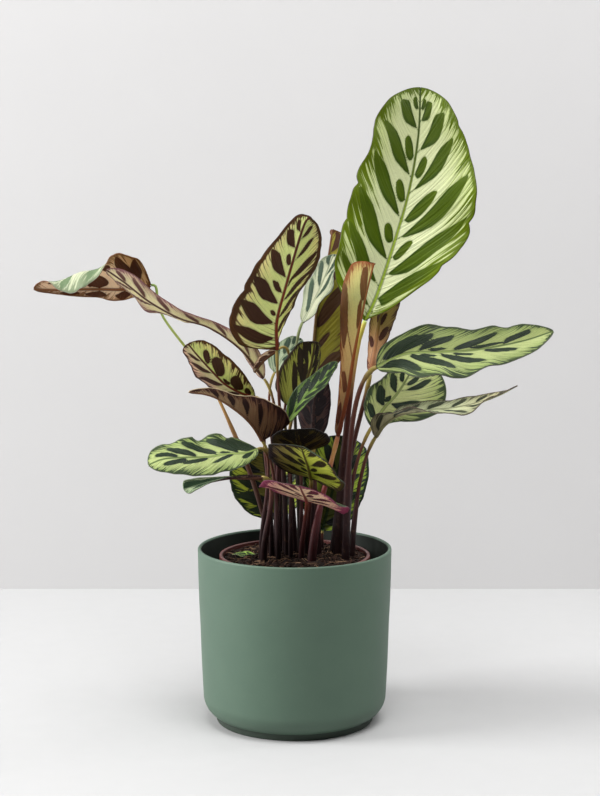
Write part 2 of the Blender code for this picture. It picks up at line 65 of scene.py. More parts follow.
# Cover pot
RIM_R = 72.5
POT_HEIGHT = 132.0
WAIST_R = 70.5
WAIST_Z = 60.0
CORNER_R = 17.0
CORNER_Z = 20.0
BODY_FOOT_R = 68.8
FOOT_R = 59.6
FLOOR_Z = 6.0
WALL = 2.6
INSIDE_TOP = (RIM_R - WALL - 0.2, 110.0)
OUTSIDE = [(RIM_R - 0.3, 112.0), (RIM_R - 0.8, 92.0), (WAIST_R + 0.4, 74.0), (WAIST_R, WAIST_Z),
           (WAIST_R - 0.7, 40.0)]
FOOT = [(FOOT_R - 0.4, 1.2), (FOOT_R - 1.2, 0), (FOOT_R - 6, 0), (FOOT_R - 7, 0.6), (0, 0.6)]
FOOT_BAND_TOP = 5.5
SKIN = 1.6
POT_STEPS = 160

# Nursery pot
GAP = 0.3
NURSERY_RIM_R = 56.5
NURSERY_FOOT_R = 43.0
NURSERY_TOP = 126.5
NURSERY_WALL = 1.3
LIP = 1.2
LIP_HEIGHT = 9.0
LIP_INNER_R = 0.6
LIP_OUTER_R = 0.8
NURSERY_STEPS = 128

# Soil. Its roughness and the mound in its middle fade out between the two radii FLAT_FROM and
# FLAT_AT. SMALL_SHARE of the crumbs are small, the others BIG times as large.
SOIL_TOP = 124.0
SOIL_LUMP = 1.1
ROUGH_PER_MM = 0.11
MOUND = 1.4
MOUND_SPREAD = 700.0
FLAT_FROM = 44
FLAT_AT = 54
SOIL_RINGS = 44
SOIL_STEPS = 150
CRUMBS = 620
CRUMB_SEED = 7
CRUMB_REACH = 52
SMALL_SHARE = 0.93
BIG = 1.7
PEAT_SHARE = 0.8
FIBRES = 150
FIBRE_SEED = 11
FIBRE_REACH = 50
FIBRE_END = 53
FIBRE_STEP = 1.7

# Blades. THICKEST is the thickness where the weight is 1, CELL the mesh's step, and halves that are
# narrower than FLAT_BELOW bend less, and those narrower than CRIMP_FULL are crimped less.
BLADE = 0.5
THICKEST = 2.6
CELL = 1.35
CURVE_SAMPLES = 400
BEND_SAMPLES = 64
FLAT_BELOW = 6.0
RIB_HEIGHT = 0.35
RIB_WIDTH = 1.1
RIB_SHIFT = 0.42
PUCKER = 0.26
PUCKERS_PER_MM = 2.2
CRIMP = 1.1
FINE_CRIMP = 0.5
CRIMP_FULL = 14
RIPPLE_LENGTH = 27
RAGGED = 0.03
FINE_RAGGED = 0.012

# Stalks. PULVINUS is the length of the joint under the blade, and SHEATH the sheath's share of the
# stalk, from the soil up.
STALK_SINK = 16.0
STALK_CLEAR = 0.45
STALK_RISE = 3.0
STALK_STEP = 3.0
STALK_SIDES = 12
LONGEST_PULL = 80
PULVINUS = 13.0
JOINT_SWELL = 0.16
NECK_DIP = 0.1
SHEATH = 0.5
SHEATH_FADE = 3.0
SHEATH_WIDER = 0.22
SHEATH_THINNER = 0.05
SHEATH_EDGE = 0.12

# Marks. A leaf without a list has a pair of them every PAIR_PITCH. All are drawn SWELL times as
# wide as listed and start at START_SHARE of the listed way out. Those that reach over less than
# SMALL_BELOW of the half blade are rounder.
PAIR_PITCH = 19
SWELL = 1.1
START_SHARE = 0.6
SMALL_BELOW = 0.32

# Camera, stage and lights, in metres, degrees and watts. A light is its place, what it looks at,
# its size and its power.
CAMERA_AT = (0.004, -1.45, 0.443)
CAMERA_PITCH = 7.8
LENS = 89.28
SENSOR = 36
SEAM_Y = 0.42
FLOOR_REACH = 6
WALL_REACH = 3
ROOM = 0.045
LIGHTS = (
    ("key", (-2.4, -0.42, 1.28), (0, 0, 0.22), 1.2, 104.0),
    ("wall_wash", (0.35, -0.78, 2.3), (0.1, 0.15, 0.42), 1.5, 63.0),
    ("right_fill", (1.3, 0.26, 1.0), (0.5, 0.42, 0.45), 0.5, 6.0),
)


@dataclass
class Leaf:
    """One leaf: a blade on its midrib, and the stalk that carries it.

    midrib runs from the blade's base to its tip. face is the way the upper side looks, left and
    right are half widths, and a bend is the fold and the further curl of that half in degrees.
    Rows of each are spread evenly along the midrib. A wave is its height, count and phase.
    foot is where the stalk leaves the soil, girth its radius there and at the blade. The right
    half is like the left one where it isn't given.
    """

    midrib: tuple
    face: tuple
    left: tuple
    left_bend: tuple
    foot: tuple
    girth: tuple
    right: tuple = ()
    right_bend: tuple = ()
    left_wave: tuple = (0, 3, 0)
    right_wave: tuple = (0, 3, 0)
    via: tuple = ()
    lean: float = 0.3
    cap: float = 0.08

    def __post_init__(self):
        self.right = self.right or self.left
        self.right_bend = self.right_bend or self.left_bend


LEAVES = [
    Leaf(midrib=((53, 22, 300), (62, 24, 320), (75, 30, 359), (86, 38, 397), (93, 48, 437),
                 (95, 60, 473)), face=((0.1, -1, 0.35), (0.0, -1, 0.3), (0.1, -1, 0.25)),
         left=(20, 37, 42, 43, 43, 37, 34, 16), left_bend=((15, 0), (15, 0), (10, 10)),
         right=(2, 22, 42, 52, 53, 43, 30, 15), right_bend=((15, 0), (8, 0), (10, 10)),
         left_wave=(2, 4.5, 0.1), right_wave=(3.5, 3.2, 0.35), foot=(33, 8), girth=(3.2, 1.5)),
    Leaf(midrib=((-13, -12, 282), (-13, -18, 303), (-7, -26, 327), (1, -38, 356), (7, -48, 375),
                 (11, -55, 381)), face=((-0.3, 0.95, 0.3), (-0.1, 1, 0.35), (0.2, 0.9, 0.5)),
         left=(3, 17, 22, 23, 23, 22, 15, 4), left_bend=((60, 0), (45, 0), (30, 0), (20, 0)),
         right=(22, 34, 34, 30, 25, 18, 12, 5), right_bend=((5, 0), (0, 0), (10, 0)),
         left_wave=(1.5, 3, 0.1), right_wave=(2, 2.6, 0.55), foot=(-6, 4), girth=(1.6, 1.0)),
    Leaf(midrib=((6, 28, 298), (13, 34, 310), (21, 44, 326), (30, 60, 347)),
         face=((-0.6, -0.7, 0.5), (-0.5, -0.7, 0.5)), left=(3, 8, 12, 12, 10, 6),
         left_bend=((10, 10),), right=(3, 11, 13, 13, 10, 5), left_wave=(2, 2.5, 0.1),
         right_wave=(2, 2.5, 0.6), foot=(4, 22), girth=(1.6, 1.0)),
    Leaf(midrib=((14, 36, 257), (15, 46, 283), (18, 58, 312), (25, 70, 340), (29, 78, 365)),
         face=((0.2, 0.9, 0.2), (0.2, 0.9, 0.2)), left=(12, 28, 30, 28, 24, 14),
         left_bend=((10, 0), (10, 10)), right=(4, 10, 12, 12, 10, 6),
         right_bend=((80, 20), (80, 20)), foot=(13, 21), girth=(2.2, 1.3)),
    Leaf(midrib=((32, -12, 218), (39, -14, 249), (43, -14, 275), (48, -13, 301), (53, -12, 325),
                 (58, -10, 345)), face=((0.2, 0.9, 0.1), (0.2, 0.9, 0.1)),
         left=(2, 5, 7, 9, 11, 12, 12, 10), left_bend=((100, 40), (100, 40)),
         right=(3, 6, 9, 11, 15, 19, 21, 16), right_bend=((0, 50), (0, 40), (0, 30)),
         foot=(13, -16), girth=(2.6, 1.5), cap=0.04),
    Leaf(midrib=((57, 28, 259), (61, 32, 281), (65, 38, 301), (73, 44, 321)),
         face=((-0.2, 0.9, 0.1),), left=(2, 8, 12, 14, 15, 13), left_bend=((0, 60), (0, 40)),
         right=(2, 6, 8, 9, 9, 7), right_bend=((20, 80), (20, 60)), foot=(30, 22),
         girth=(2.4, 1.5)),
    Leaf(midrib=((61, 5, 267), (81, 0, 277), (106, -5, 279), (133, -8, 281), (167, -5, 287),
                 (191, 0, 294)), face=((0.0, -0.8, 0.6), (0.1, -0.8, 0.6), (0, -0.75, 0.6)),
         left=(9, 16, 23, 22, 18, 18, 15, 7), left_bend=((10, 0), (0, 0), (-10, 0)),
         right=(9, 16, 25, 24, 21, 16, 12, 4), right_bend=((10, 0), (10, 0)),
         left_wave=(1.5, 3, 0.4), right_wave=(3, 3.5, 0.1), foot=(38, -4), girth=(2.4, 1.6)),
    Leaf(midrib=((58, 18, 220), (67, 24, 233), (77, 30, 243), (86, 36, 256), (94, 42, 271)),
         face=((0.1, -0.9, 0.4), (0.1, -0.9, 0.4)), left=(8, 17, 20, 20, 19, 16, 12, 6),
         left_bend=((20, 20), (35, 10)), right=(2, 10, 19, 28, 34, 34, 27, 12),
         right_bend=((0, 10), (0, 0)), right_wave=(2.5, 2.2, 0.3), foot=(38, 15), girth=(1.8, 1.2)),
    Leaf(midrib=((61, 10, 214), (67, 2, 224), (78, -6, 233), (96, -14, 237), (114, -18, 239),
                 (132, -20, 243), (149, -20, 249), (163, -18, 256)),
         face=((-0.2, 0.0, 0.9), (0, -0.3, 0.9), (0, -0.5, 0.8), (0, 0.3, 0.9)),
         left=(4, 8, 9, 8, 8, 7, 5, 2), left_bend=((20, 20), (10, 10)),
         right=(6, 12, 13, 15, 16, 10, 5, 2), right_bend=((50, 20), (20, 10), (20, 10)),
         left_wave=(1.5, 2.5, 0.2), right_wave=(2, 2.5, 0.1), foot=(43, 5), girth=(1.8, 1.2)),
    Leaf(midrib=((-109, 40, 325), (-129, 40, 322), (-147, 40, 322), (-165, 38, 322),
                 (-183, 34, 322), (-196, 30, 323)),
         face=((0, 0.9, 0.35), (0, 0.95, 0.2), (0, 1, 0.05), (0, 1, 0.1)),
         left=(20, 30, 36, 43, 44, 35, 18, 5),
         left_bend=((0, -5), (0, -25), (0, -105), (-5, -155), (-10, -150), (0, -40)),
         right=(4, 9, 9, 8, 6, 5, 3, 2), right_bend=((0, 10),), left_wave=(2, 3.2, 0.2),
         right_wave=(1.5, 3.4, 0.6), foot=(-19, 10), girth=(1.5, 0.9),
         via=((-56, 18, 239), (-99, 34, 301)), cap=0.06),
    Leaf(midrib=((-23, 8, 258), (-40, 8, 280), (-63, 8, 296), (-85, 8, 303), (-107, 8, 315),
                 (-125, 8, 329), (-139, 8, 339)),
         face=((0, 0.6, 0.8), (0, 0.5, 0.85), (0, 0.75, 0.65), (0, 0.9, 0.5)),
         left=(5, 10, 8, 6, 7, 8, 9, 5), left_bend=((20, 20),), right=(5, 9, 8, 8, 13, 14, 11, 6),
         left_wave=(1.5, 3, 0.2), right_wave=(1.5, 3, 0.6), foot=(-14, 4), girth=(1.6, 1.0)),
    Leaf(midrib=((-29, -20, 248), (-39, -26, 252), (-50, -32, 259), (-60, -38, 270),
                 (-70, -43, 282), (-76, -46, 290)), face=((0.1, 0.9, 0.4), (0.1, 0.9, 0.4)),
         left=(3, 11, 16, 17, 16, 14, 9), left_bend=((0, 10), (0, 20)),
         right=(3, 9, 14, 16, 15, 12, 8), right_bend=((10, 20),), foot=(-17, -2), girth=(1.6, 1.0),
         via=((-22, -6, 205),)),
    Leaf(midrib=((-24, -16, 215), (-32, -26, 229), (-43, -38, 241), (-58, -50, 252),
                 (-75, -58, 257)), face=((0, 0.9, 0.3), (0, 0.9, 0.3)),
         left=(24, 27, 24, 15, 9, 6, 2), left_bend=((5, -10),), right=(8, 14, 14, 10, 6, 4, 2),
         right_bend=((110, 10), (90, 10)), foot=(-12, -10), girth=(1.6, 1.0)),
    Leaf(midrib=((0, 2, 235), (6, 0, 250), (12, -3, 269), (15, -6, 287)), face=((0, 1, 0.2),),
         left=(5, 12, 13, 11, 9, 6), left_bend=((40, 20),), right=(9, 20, 22, 21, 17, 11),
         right_bend=((0, 0),), foot=(0, 12), girth=(1.8, 1.2)),
    Leaf(midrib=((-5, -16, 229), (6, -20, 246), (19, -22, 259), (31, -22, 274)),
         face=((-0.4, -0.7, 0.5),), left=(3, 8, 10, 9, 7, 3), left_bend=((10, 30),),
         right=(3, 8, 10, 10, 8, 3), foot=(-3, -5), girth=(1.4, 0.9), via=((-3, -1, 205),)),
    Leaf(midrib=((14, 8, 212), (14, 11, 231), (16, 14, 250), (17, 15, 261)), face=((0.1, 1, 0.1),),
         left=(6, 11, 13, 13, 11, 6), left_bend=((10, 20),), foot=(18, 6), girth=(1.8, 1.2)),
    Leaf(midrib=((-27, -30, 211), (-36, -42, 210), (-48, -52, 211), (-62, -60, 210),
                 (-77, -68, 211), (-92, -74, 211), (-103, -76, 207)),
         face=((-0.2, -0.7, 0.7), (-0.2, -0.7, 0.7)), left=(3, 8, 12, 13, 14, 13, 11, 6),
         left_bend=((-15, -30), (-15, -10)), right=(8, 18, 17, 18, 17, 15, 12, 8),
         right_bend=((10, 0), (10, 0)), left_wave=(2, 3, 0.3), right_wave=(2, 3.5, 0.1),
         foot=(-25, -6), girth=(1.5, 1.0)),
    Leaf(midrib=((-24, -32, 190), (-36, -42, 192), (-48, -50, 193), (-62, -56, 191),
                 (-79, -62, 187)), face=((0, 0.8, 0.5), (0, 0, 1), (0, -0.7, 0.7)),
         left=(2, 3, 3, 4, 6, 8), left_bend=((40, 20), (10, 10)), right=(2, 3, 3, 4, 6, 7),
         foot=(-23, -14), girth=(2.0, 1.6), cap=0.05),
    Leaf(midrib=((-13, 34, 146), (-17, 36, 161), (-22, 38, 180), (-25, 40, 200)),
         face=((0, -1, 0.1),), left=(9, 22, 28, 30, 28, 17), left_bend=((10, 20),),
         right=(12, 25, 30, 31, 28, 17), foot=(-10, 30), girth=(2, 1.4), cap=0.14),
    Leaf(midrib=((21, 36, 137), (27, 38, 160), (33, 40, 183), (39, 42, 209)), face=((0, -1, 0.1),),
         left=(10, 21, 25, 26, 23, 16), left_bend=((10, 20),), foot=(20, 34), girth=(2, 1.4)),
    Leaf(midrib=((12, -28, 189), (10, -52, 202), (7, -68, 213), (5, -80, 221)),
         face=((0, 0.5, 0.85),), left=(10, 24, 31, 32, 28, 18), left_bend=((-20, -30),),
         right=(9, 26, 29, 29, 27, 20), right_bend=((15, 0),), foot=(9, 2), girth=(1.8, 1.2)),
    Leaf(midrib=((9, -28, 172), (8, -45, 178), (6, -62, 185), (4, -76, 192)),
         face=((0, 0.3, 0.95),), left=(12, 28, 34, 33, 27, 15), left_bend=((-12, -15),),
         right_bend=((15, 0),), foot=(5, -10), girth=(1.8, 1.2), cap=0.14),
    Leaf(midrib=((4, -6, 205), (3, -20, 213), (2, -32, 221), (1, -40, 227)), face=((0, 0.6, 0.8),),
         left=(10, 20, 24, 23, 19, 11), left_bend=((0, 10),), right=(9, 17, 20, 20, 17, 10),
         foot=(5, -3), girth=(1.6, 1.1)),
    Leaf(midrib=((-15, 30, 260), (-9, 36, 270), (-4, 42, 275), (4, 48, 284)),
         face=((-0.3, -0.8, 0.5),), left=(4, 10, 12, 11, 9, 5), left_bend=((10, 10),),
         foot=(-8, 20), girth=(1.3, 0.9)),
    Leaf(midrib=((-13, 0, 280), (-22, -2, 273), (-30, -4, 264)), face=((0, 0.7, 0.7),),
         left=(2, 4, 5, 4, 2), left_bend=((30, 85),), foot=(-11, 13), girth=(1.3, 0.9),
         via=((-11, 9, 200),)),
]
FALLEN = Leaf(midrib=((-26, 3, 125.2), (-33, 4, 125.5), (-40, 5, 125.5), (-47, 8, 125.2)),
              face=((0, 0, 1),), left=(2, 5, 6, 5, 2), left_bend=((4, 10),), right=(2, 4, 6, 5, 2),
              left_wave=(0.4, 3, 0.1), right_wave=(0.4, 2, 0.4), foot=(0, 0), girth=(1, 1))

# Leaves whose material slot is leaf_purple.
PURPLE = (2, 4, 5, 6, 10, 11, 12, 13, 14, 16, 21, 22, 23)
# How much a leaf's veins lean forward at the base, how much more at the tip, and their curve.
# Key 0 stands for the leaves that aren't listed.
VEINS = {0: (0.45, 1.2, 0.6), 1: (0.5, 1.2, 0.9), 2: (-0.05, 2.1, 0.9), 3: (2.7, 0.8, 0.3),
         4: (1.0, 1.8, 0.0), 5: (1.9, 1.2, 0.2), 6: (0.6, 1.2, 0.3), 7: (1.2, 2.0, 0.9),
         8: (0.1, 1.4, 0.3), 9: (1.4, 0.8, 0.4), 10: (0.1, 1.8, 0.2), 11: (2.0, 0.4, 0.3),
         12: (0.1, 1.8, 0.3), 13: (1.2, 0.6, 0.3), 14: (1.5, 2.2, 0.9), 15: (1.7, 0.8, 0.5),
         17: (0.8, 1.8, 0.4), 19: (0.3, 0.2, 0.2), 20: (0.4, 1.3, 0.1), 21: (0.3, 1.4, 0.5),
         22: (0.3, 1.2, 0.4), 24: (1.2, 1.0, 0.6)}
# Notches of the left (-1) and right (1) margin: place, width and depth, as shares of the length
# and of the half width.
NOTCHES = {
    (1, -1): ((0.53, 0.02, 0.06), (0.37, 0.02, 0.05), (0.68, 0.04, 0.03)),
    (1, 1): ((0.84, 0.02, 0.05), (0.49, 0.02, 0.06), (0.3, 0.03, 0.07)),
    (2, -1): ((0.4, 0.03, 0.04), (0.22, 0.03, 0.04)),
    (2, 1): ((0.37, 0.04, 0.07), (0.22, 0.02, 0.025), (0.6, 0.03, 0.03)),
}
# Where the dark band along the margin starts, as a share of the way to the margin.
BANDS = {0: 0.935, 2: 0.85, 4: 0.95, 12: 0.9, 14: 0.9, 16: 0.88, 19: 0.93, 20: 0.93, 21: 0.88,
         22: 0.86}
# Height of the ripples along the margins of the wavier leaves, in millimetres.
RIPPLES = {2: 0.8, 7: 1.5, 8: 1.3, 9: 1.8, 10: 1.6, 11: 1.4, 12: 0.8, 13: 1.5, 17: 2.6, 21: 1.5,
           22: 2.0}
# Share of the light that passes through the undersides.
LETS_THROUGH = {0: 0.3, 4: 0.4, 5: 0.5, 6: 0.45, 10: 0.6, 11: 0.5, 22: 0.2, 25: 0.5}
# Leaves with long narrow marks only, and how far apart these are, in millimetres.
STREAKED = {3: 19, 15: 11, 24: 11}
# Where the dark marks of a leaf's left and right half lie. Each mark is its place along the midrib
# (0 base, 1 tip) at its inner and outer end, how far out those ends are (0 midrib, 1 margin) and
# its half width in millimetres.
MARKS = {
    1: (((0.81, 0.79, 0.08, 0.62, 4.3), (0.69, 0.685, 0.08, 0.36, 2.8), (0.61, 0.6, 0.08, 0.8, 4.4),
         (0.51, 0.505, 0.07, 0.35, 2.6), (0.435, 0.435, 0.07, 0.9, 4.8),
         (0.337, 0.33, 0.07, 0.34, 2.5), (0.257, 0.262, 0.06, 0.94, 5.2),
         (0.145, 0.14, 0.16, 0.94, 4.2), (0.05, 0.04, 0.2, 0.94, 3.6), (0.9, 0.9, 0.08, 0.32, 1.5)),
        ((0.845, 0.846, 0.08, 0.42, 3.4), (0.715, 0.716, 0.1, 0.7, 4.7),
         (0.62, 0.622, 0.07, 0.27, 2.8), (0.545, 0.575, 0.1, 0.74, 4.6),
         (0.425, 0.437, 0.1, 0.4, 4.2), (0.347, 0.357, 0.12, 0.9, 5.2),
         (0.27, 0.285, 0.1, 0.36, 2.5), (0.197, 0.208, 0.14, 0.92, 5.3),
         (0.095, 0.093, 0.18, 0.94, 4.8), (0.9, 0.9, 0.08, 0.3, 1.3))),
    2: (((0.62, 0.66, 0.12, 0.66, 1.9), (0.47, 0.474, 0.1, 0.9, 2.6), (0.21, 0.26, 0.12, 0.92, 3.1),
         (0.11, 0.13, 0.12, 0.92, 2.6), (0.43, 0.48, 0.1, 0.3, 1.2), (0.78, 0.8, 0.1, 0.6, 1.6),
         (0.33, 0.36, 0.1, 0.9, 2.9)),
        ((0.5, 0.475, 0.09, 0.86, 3.5), (0.31, 0.277, 0.09, 0.9, 4.3),
         (0.18, 0.132, 0.09, 0.92, 4.0), (0.08, 0.04, 0.1, 0.94, 3.5),
         (0.72, 0.685, 0.1, 0.76, 2.8), (0.392, 0.388, 0.07, 0.37, 2.0),
         (0.606, 0.6, 0.06, 0.33, 1.5), (0.236, 0.232, 0.07, 0.24, 1.0),
         (0.84, 0.83, 0.1, 0.6, 1.6))),
    4: (((-0.02, -0.04, 0.1, 0.95, 4.9), (0.335, 0.36, 0.04, 0.85, 5.6),
         (0.16, 0.16, 0.1, 0.4, 2.0), (0.6, 0.62, 0.08, 0.8, 4.4), (0.82, 0.84, 0.1, 0.6, 3.0)),
        ((0.2, 0.2, 0.1, 0.85, 3.4), (0.5, 0.5, 0.1, 0.85, 3.4), (0.75, 0.75, 0.1, 0.8, 2.6))),
    5: (((0.5, 0.5, 0.3, 0.92, 2.4), (0.28, 0.28, 0.1, 0.85, 3.0), (0.08, 0.08, 0.1, 0.9, 3.0)),
        ((0.81, 0.79, 0.02, 0.4, 3.2), (0.66, 0.65, 0.02, 0.3, 2.0), (0.44, 0.38, 0.9, 1.1, 4.5),
         (0.26, 0.22, 0.1, 0.8, 2.2), (0.1, 0.06, 0.1, 0.9, 2.6))),
    6: (((0.6, 0.6, 0.02, 0.34, 2.4), (0.4, 0.38, 0.2, 0.75, 2.6), (0.82, 0.84, 0.1, 0.5, 1.8)),
        ((0.63, 0.63, 0.02, 0.34, 2.2), (0.32, 0.3, 0.2, 0.8, 2.2), (0.8, 0.8, 0.1, 0.5, 2.0))),
    7: (((0.093, 0.045, 0.08, 0.72, 4.1), (0.126, 0.115, 0.1, 0.68, 3.6),
         (0.233, 0.232, 0.09, 0.68, 3.0), (0.315, 0.315, 0.08, 0.22, 1.8),
         (0.43, 0.47, 0.1, 0.68, 3.0), (0.565, 0.583, 0.1, 0.27, 2.8),
         (0.696, 0.694, 0.08, 0.64, 2.8)),
        ((0.065, 0.04, 0.18, 0.76, 4.1), (0.2, 0.228, 0.14, 0.64, 3.6),
         (0.262, 0.27, 0.09, 0.22, 1.6), (0.35, 0.39, 0.14, 0.62, 2.8),
         (0.43, 0.46, 0.1, 0.24, 1.6), (0.6, 0.64, 0.08, 0.44, 2.6))),
    8: (((0.48, 0.44, 0.08, 0.85, 3.0), (0.63, 0.6, 0.08, 0.5, 2.2), (0.27, 0.24, 0.08, 0.85, 3.2),
         (0.36, 0.32, 0.08, 0.3, 1.7), (0.11, 0.1, 0.1, 0.8, 2.8)),
        ((0.62, 0.65, 0.1, 0.34, 1.5), (0.53, 0.575, 0.16, 0.6, 2.1), (0.34, 0.34, 0.12, 0.7, 3.0),
         (0.18, 0.18, 0.12, 0.7, 3.0), (0.75, 0.76, 0.1, 0.5, 1.6))),
    9: (((0.12, 0.12, 0.1, 0.9, 1.7), (0.27, 0.27, 0.08, 0.9, 1.8), (0.42, 0.42, 0.08, 0.9, 1.8),
         (0.57, 0.57, 0.08, 0.9, 1.6), (0.72, 0.72, 0.08, 0.9, 1.3), (0.86, 0.86, 0.08, 0.9, 1.0)),
        ((0.05, 0.05, 0.1, 0.9, 1.6), (0.2, 0.2, 0.08, 0.9, 1.8), (0.35, 0.35, 0.08, 0.9, 1.8),
         (0.5, 0.5, 0.08, 0.9, 1.7), (0.65, 0.65, 0.08, 0.9, 1.5), (0.8, 0.8, 0.08, 0.9, 1.1))),
    10: (((0.43, 0.42, 0.06, 0.4, 8.4), (0.25, 0.25, 0.56, 0.94, 4.6), (0.14, 0.12, 0.34, 0.9, 4.4),
          (0.09, 0.02, 0.1, 0.96, 3.0), (0.68, 0.66, 0.1, 0.7, 5.0), (0.5, 0.5, 0.55, 0.95, 4.0)),
         ((0.22, 0.2, 0.2, 0.95, 4.0), (0.43, 0.41, 0.25, 0.98, 5.4),
          (0.66, 0.64, 0.2, 0.95, 4.0))),
    11: (((0.12, 0.12, 0.1, 0.9, 1.1), (0.28, 0.28, 0.08, 0.9, 1.2), (0.44, 0.44, 0.08, 0.9, 1.3),
          (0.6, 0.6, 0.08, 0.9, 1.4), (0.75, 0.75, 0.08, 0.8, 1.6), (0.88, 0.88, 0.08, 0.7, 1.5)),
         ((0.04, 0.04, 0.1, 0.9, 1.1), (0.2, 0.2, 0.08, 0.9, 1.2), (0.36, 0.36, 0.08, 0.9, 1.3),
          (0.52, 0.52, 0.08, 0.9, 1.4), (0.68, 0.68, 0.08, 0.9, 1.5),
          (0.82, 0.82, 0.08, 0.7, 1.6))),
    12: (((0.52, 0.487, 0.1, 0.72, 4.2), (0.25, 0.235, 0.12, 0.72, 4.8),
          (0.69, 0.66, 0.12, 0.6, 2.1), (0.38, 0.37, 0.08, 0.25, 1.8), (0.1, 0.1, 0.1, 0.6, 2.6)),
         ((0.38, 0.4, 0.12, 0.9, 2.6), (0.56, 0.6, 0.1, 0.8, 2.2), (0.2, 0.2, 0.1, 0.85, 2.6),
          (0.74, 0.76, 0.1, 0.6, 1.6))),
    13: (((0.1, 0.1, 0.1, 0.9, 1.6), (0.3, 0.3, 0.08, 0.9, 1.9), (0.5, 0.5, 0.08, 0.9, 1.9),
          (0.7, 0.7, 0.08, 0.9, 1.4)),
         ((0.0, 0.0, 0.1, 0.9, 1.6), (0.2, 0.2, 0.08, 0.9, 1.9), (0.4, 0.4, 0.08, 0.9, 1.9),
          (0.6, 0.6, 0.08, 0.9, 1.5))),
    14: (((0.12, 0.12, 0.1, 0.85, 2.6), (0.34, 0.36, 0.1, 0.8, 2.4), (0.58, 0.6, 0.1, 0.8, 2.2),
          (0.78, 0.8, 0.1, 0.6, 1.8)),
         ((0.07, 0.16, 0.1, 0.7, 2.4), (0.3, 0.36, 0.1, 0.8, 2.6), (0.54, 0.58, 0.1, 0.8, 2.4),
          (0.74, 0.77, 0.1, 0.7, 2.0), (0.42, 0.44, 0.06, 0.3, 2.0))),
    17: (((0.52, 0.6, 0.08, 0.4, 2.8), (0.29, 0.38, 0.08, 0.44, 2.4), (0.7, 0.74, 0.1, 0.5, 2.7),
          (0.1, 0.12, 0.1, 0.5, 3.3)),
         ((0.41, 0.45, 0.14, 0.84, 3.2), (0.225, 0.216, 0.1, 0.88, 3.3),
          (0.07, 0.02, 0.08, 0.95, 8.5), (0.6, 0.62, 0.1, 0.7, 2.8), (0.76, 0.78, 0.1, 0.5, 2.3),
          (0.32, 0.33, 0.05, 0.2, 1.5))),
    19: (((0.47, 0.48, 0.14, 0.86, 3.6), (0.267, 0.266, 0.1, 0.92, 4.4),
          (0.66, 0.68, 0.12, 0.8, 3.0), (0.08, 0.08, 0.14, 0.9, 3.2)),
         ((0.58, 0.58, 0.12, 0.86, 3.4), (0.36, 0.36, 0.1, 0.9, 3.8), (0.76, 0.76, 0.12, 0.8, 2.8),
          (0.16, 0.16, 0.12, 0.86, 3.4))),
    20: (((0.62, 0.62, 0.12, 0.8, 3.0), (0.42, 0.42, 0.12, 0.8, 3.2), (0.22, 0.22, 0.12, 0.8, 3.0)),
         ((0.59, 0.594, 0.14, 0.66, 3.8), (0.425, 0.42, 0.2, 0.72, 2.6),
          (0.25, 0.25, 0.12, 0.9, 3.4), (0.78, 0.78, 0.12, 0.6, 2.6),
          (0.08, 0.08, 0.12, 0.9, 3.2))),
    21: (((0.2, 0.2, 0.12, 0.8, 3.0), (0.46, 0.48, 0.1, 0.76, 3.2), (0.33, 0.33, 0.06, 0.3, 1.7),
          (0.7, 0.72, 0.1, 0.66, 2.4)),
         ((0.14, 0.14, 0.12, 0.8, 2.8), (0.38, 0.4, 0.1, 0.74, 3.2), (0.26, 0.26, 0.06, 0.3, 1.6),
          (0.62, 0.64, 0.1, 0.66, 2.6), (0.5, 0.5, 0.06, 0.3, 1.6))),
    22: (((0.3, 0.3, 0.12, 0.8, 3.2), (0.62, 0.64, 0.1, 0.7, 3.2), (0.46, 0.46, 0.06, 0.3, 2.0),
          (0.12, 0.12, 0.1, 0.6, 2.2)),
         ((0.24, 0.24, 0.12, 0.86, 2.8), (0.5, 0.52, 0.1, 0.86, 2.6), (0.38, 0.38, 0.06, 0.3, 1.6),
          (0.7, 0.8, 0.08, 0.6, 2.8))),
}
# What the colours of one side of a blade are for: the ground and the marks, each by the midrib and
# further out, the margin, its thin edge, the vein lines, and the midrib at its base and tip.
SHADES = ("ground", "outer", "mark", "mark_out", "margin", "edge", "line", "rib", "rib_tip")


def tints(*colours):
    """The colours of one side of a blade, 0 to 255, by what they are for."""
    return dict(zip(SHADES, colours))


FRESH = tints((235, 243, 196), (220, 234, 164), (54, 78, 0), (86, 108, 2), (112, 134, 0),
              (78, 78, 10), (116, 138, 36), (158, 184, 60), (66, 88, 8))
COOL = tints((186, 200, 132), (156, 176, 104), (28, 42, 32), (44, 60, 40), (66, 82, 50),
             (120, 130, 104), (84, 104, 54), (150, 170, 94), (92, 114, 60))
SAGE = tints((216, 226, 204), (196, 210, 186), (54, 78, 62), (76, 102, 84), (150, 166, 142),
             (196, 206, 192), (120, 142, 116), (190, 204, 178), (150, 166, 142))
GREY = tints((200, 206, 166), (178, 184, 146), (50, 58, 42), (76, 82, 62), (112, 112, 90),
             (90, 76, 60), (110, 114, 84), (168, 176, 130), (130, 130, 100))
DEEP = tints((114, 122, 44), (92, 104, 36), (12, 18, 12), (16, 24, 14), (18, 30, 16), (12, 18, 12),
             (22, 38, 16), (60, 86, 40), (40, 60, 30))
LIME = tints((218, 230, 156), (236, 226, 160), (62, 28, 12), (66, 36, 12), (84, 52, 16),
             (50, 26, 8), (112, 98, 34), (116, 46, 26), (80, 36, 20))
OLIVE = tints((138, 142, 52), (120, 124, 44), (70, 46, 32), (78, 56, 30), (90, 62, 34),
              (60, 40, 24), (92, 84, 38), (110, 92, 50), (90, 64, 40))
CREAM = tints((222, 216, 160), (214, 190, 136), (120, 78, 42), (132, 84, 46), (168, 96, 54),
              (140, 74, 40), (196, 172, 118), (170, 110, 66), (170, 110, 70))
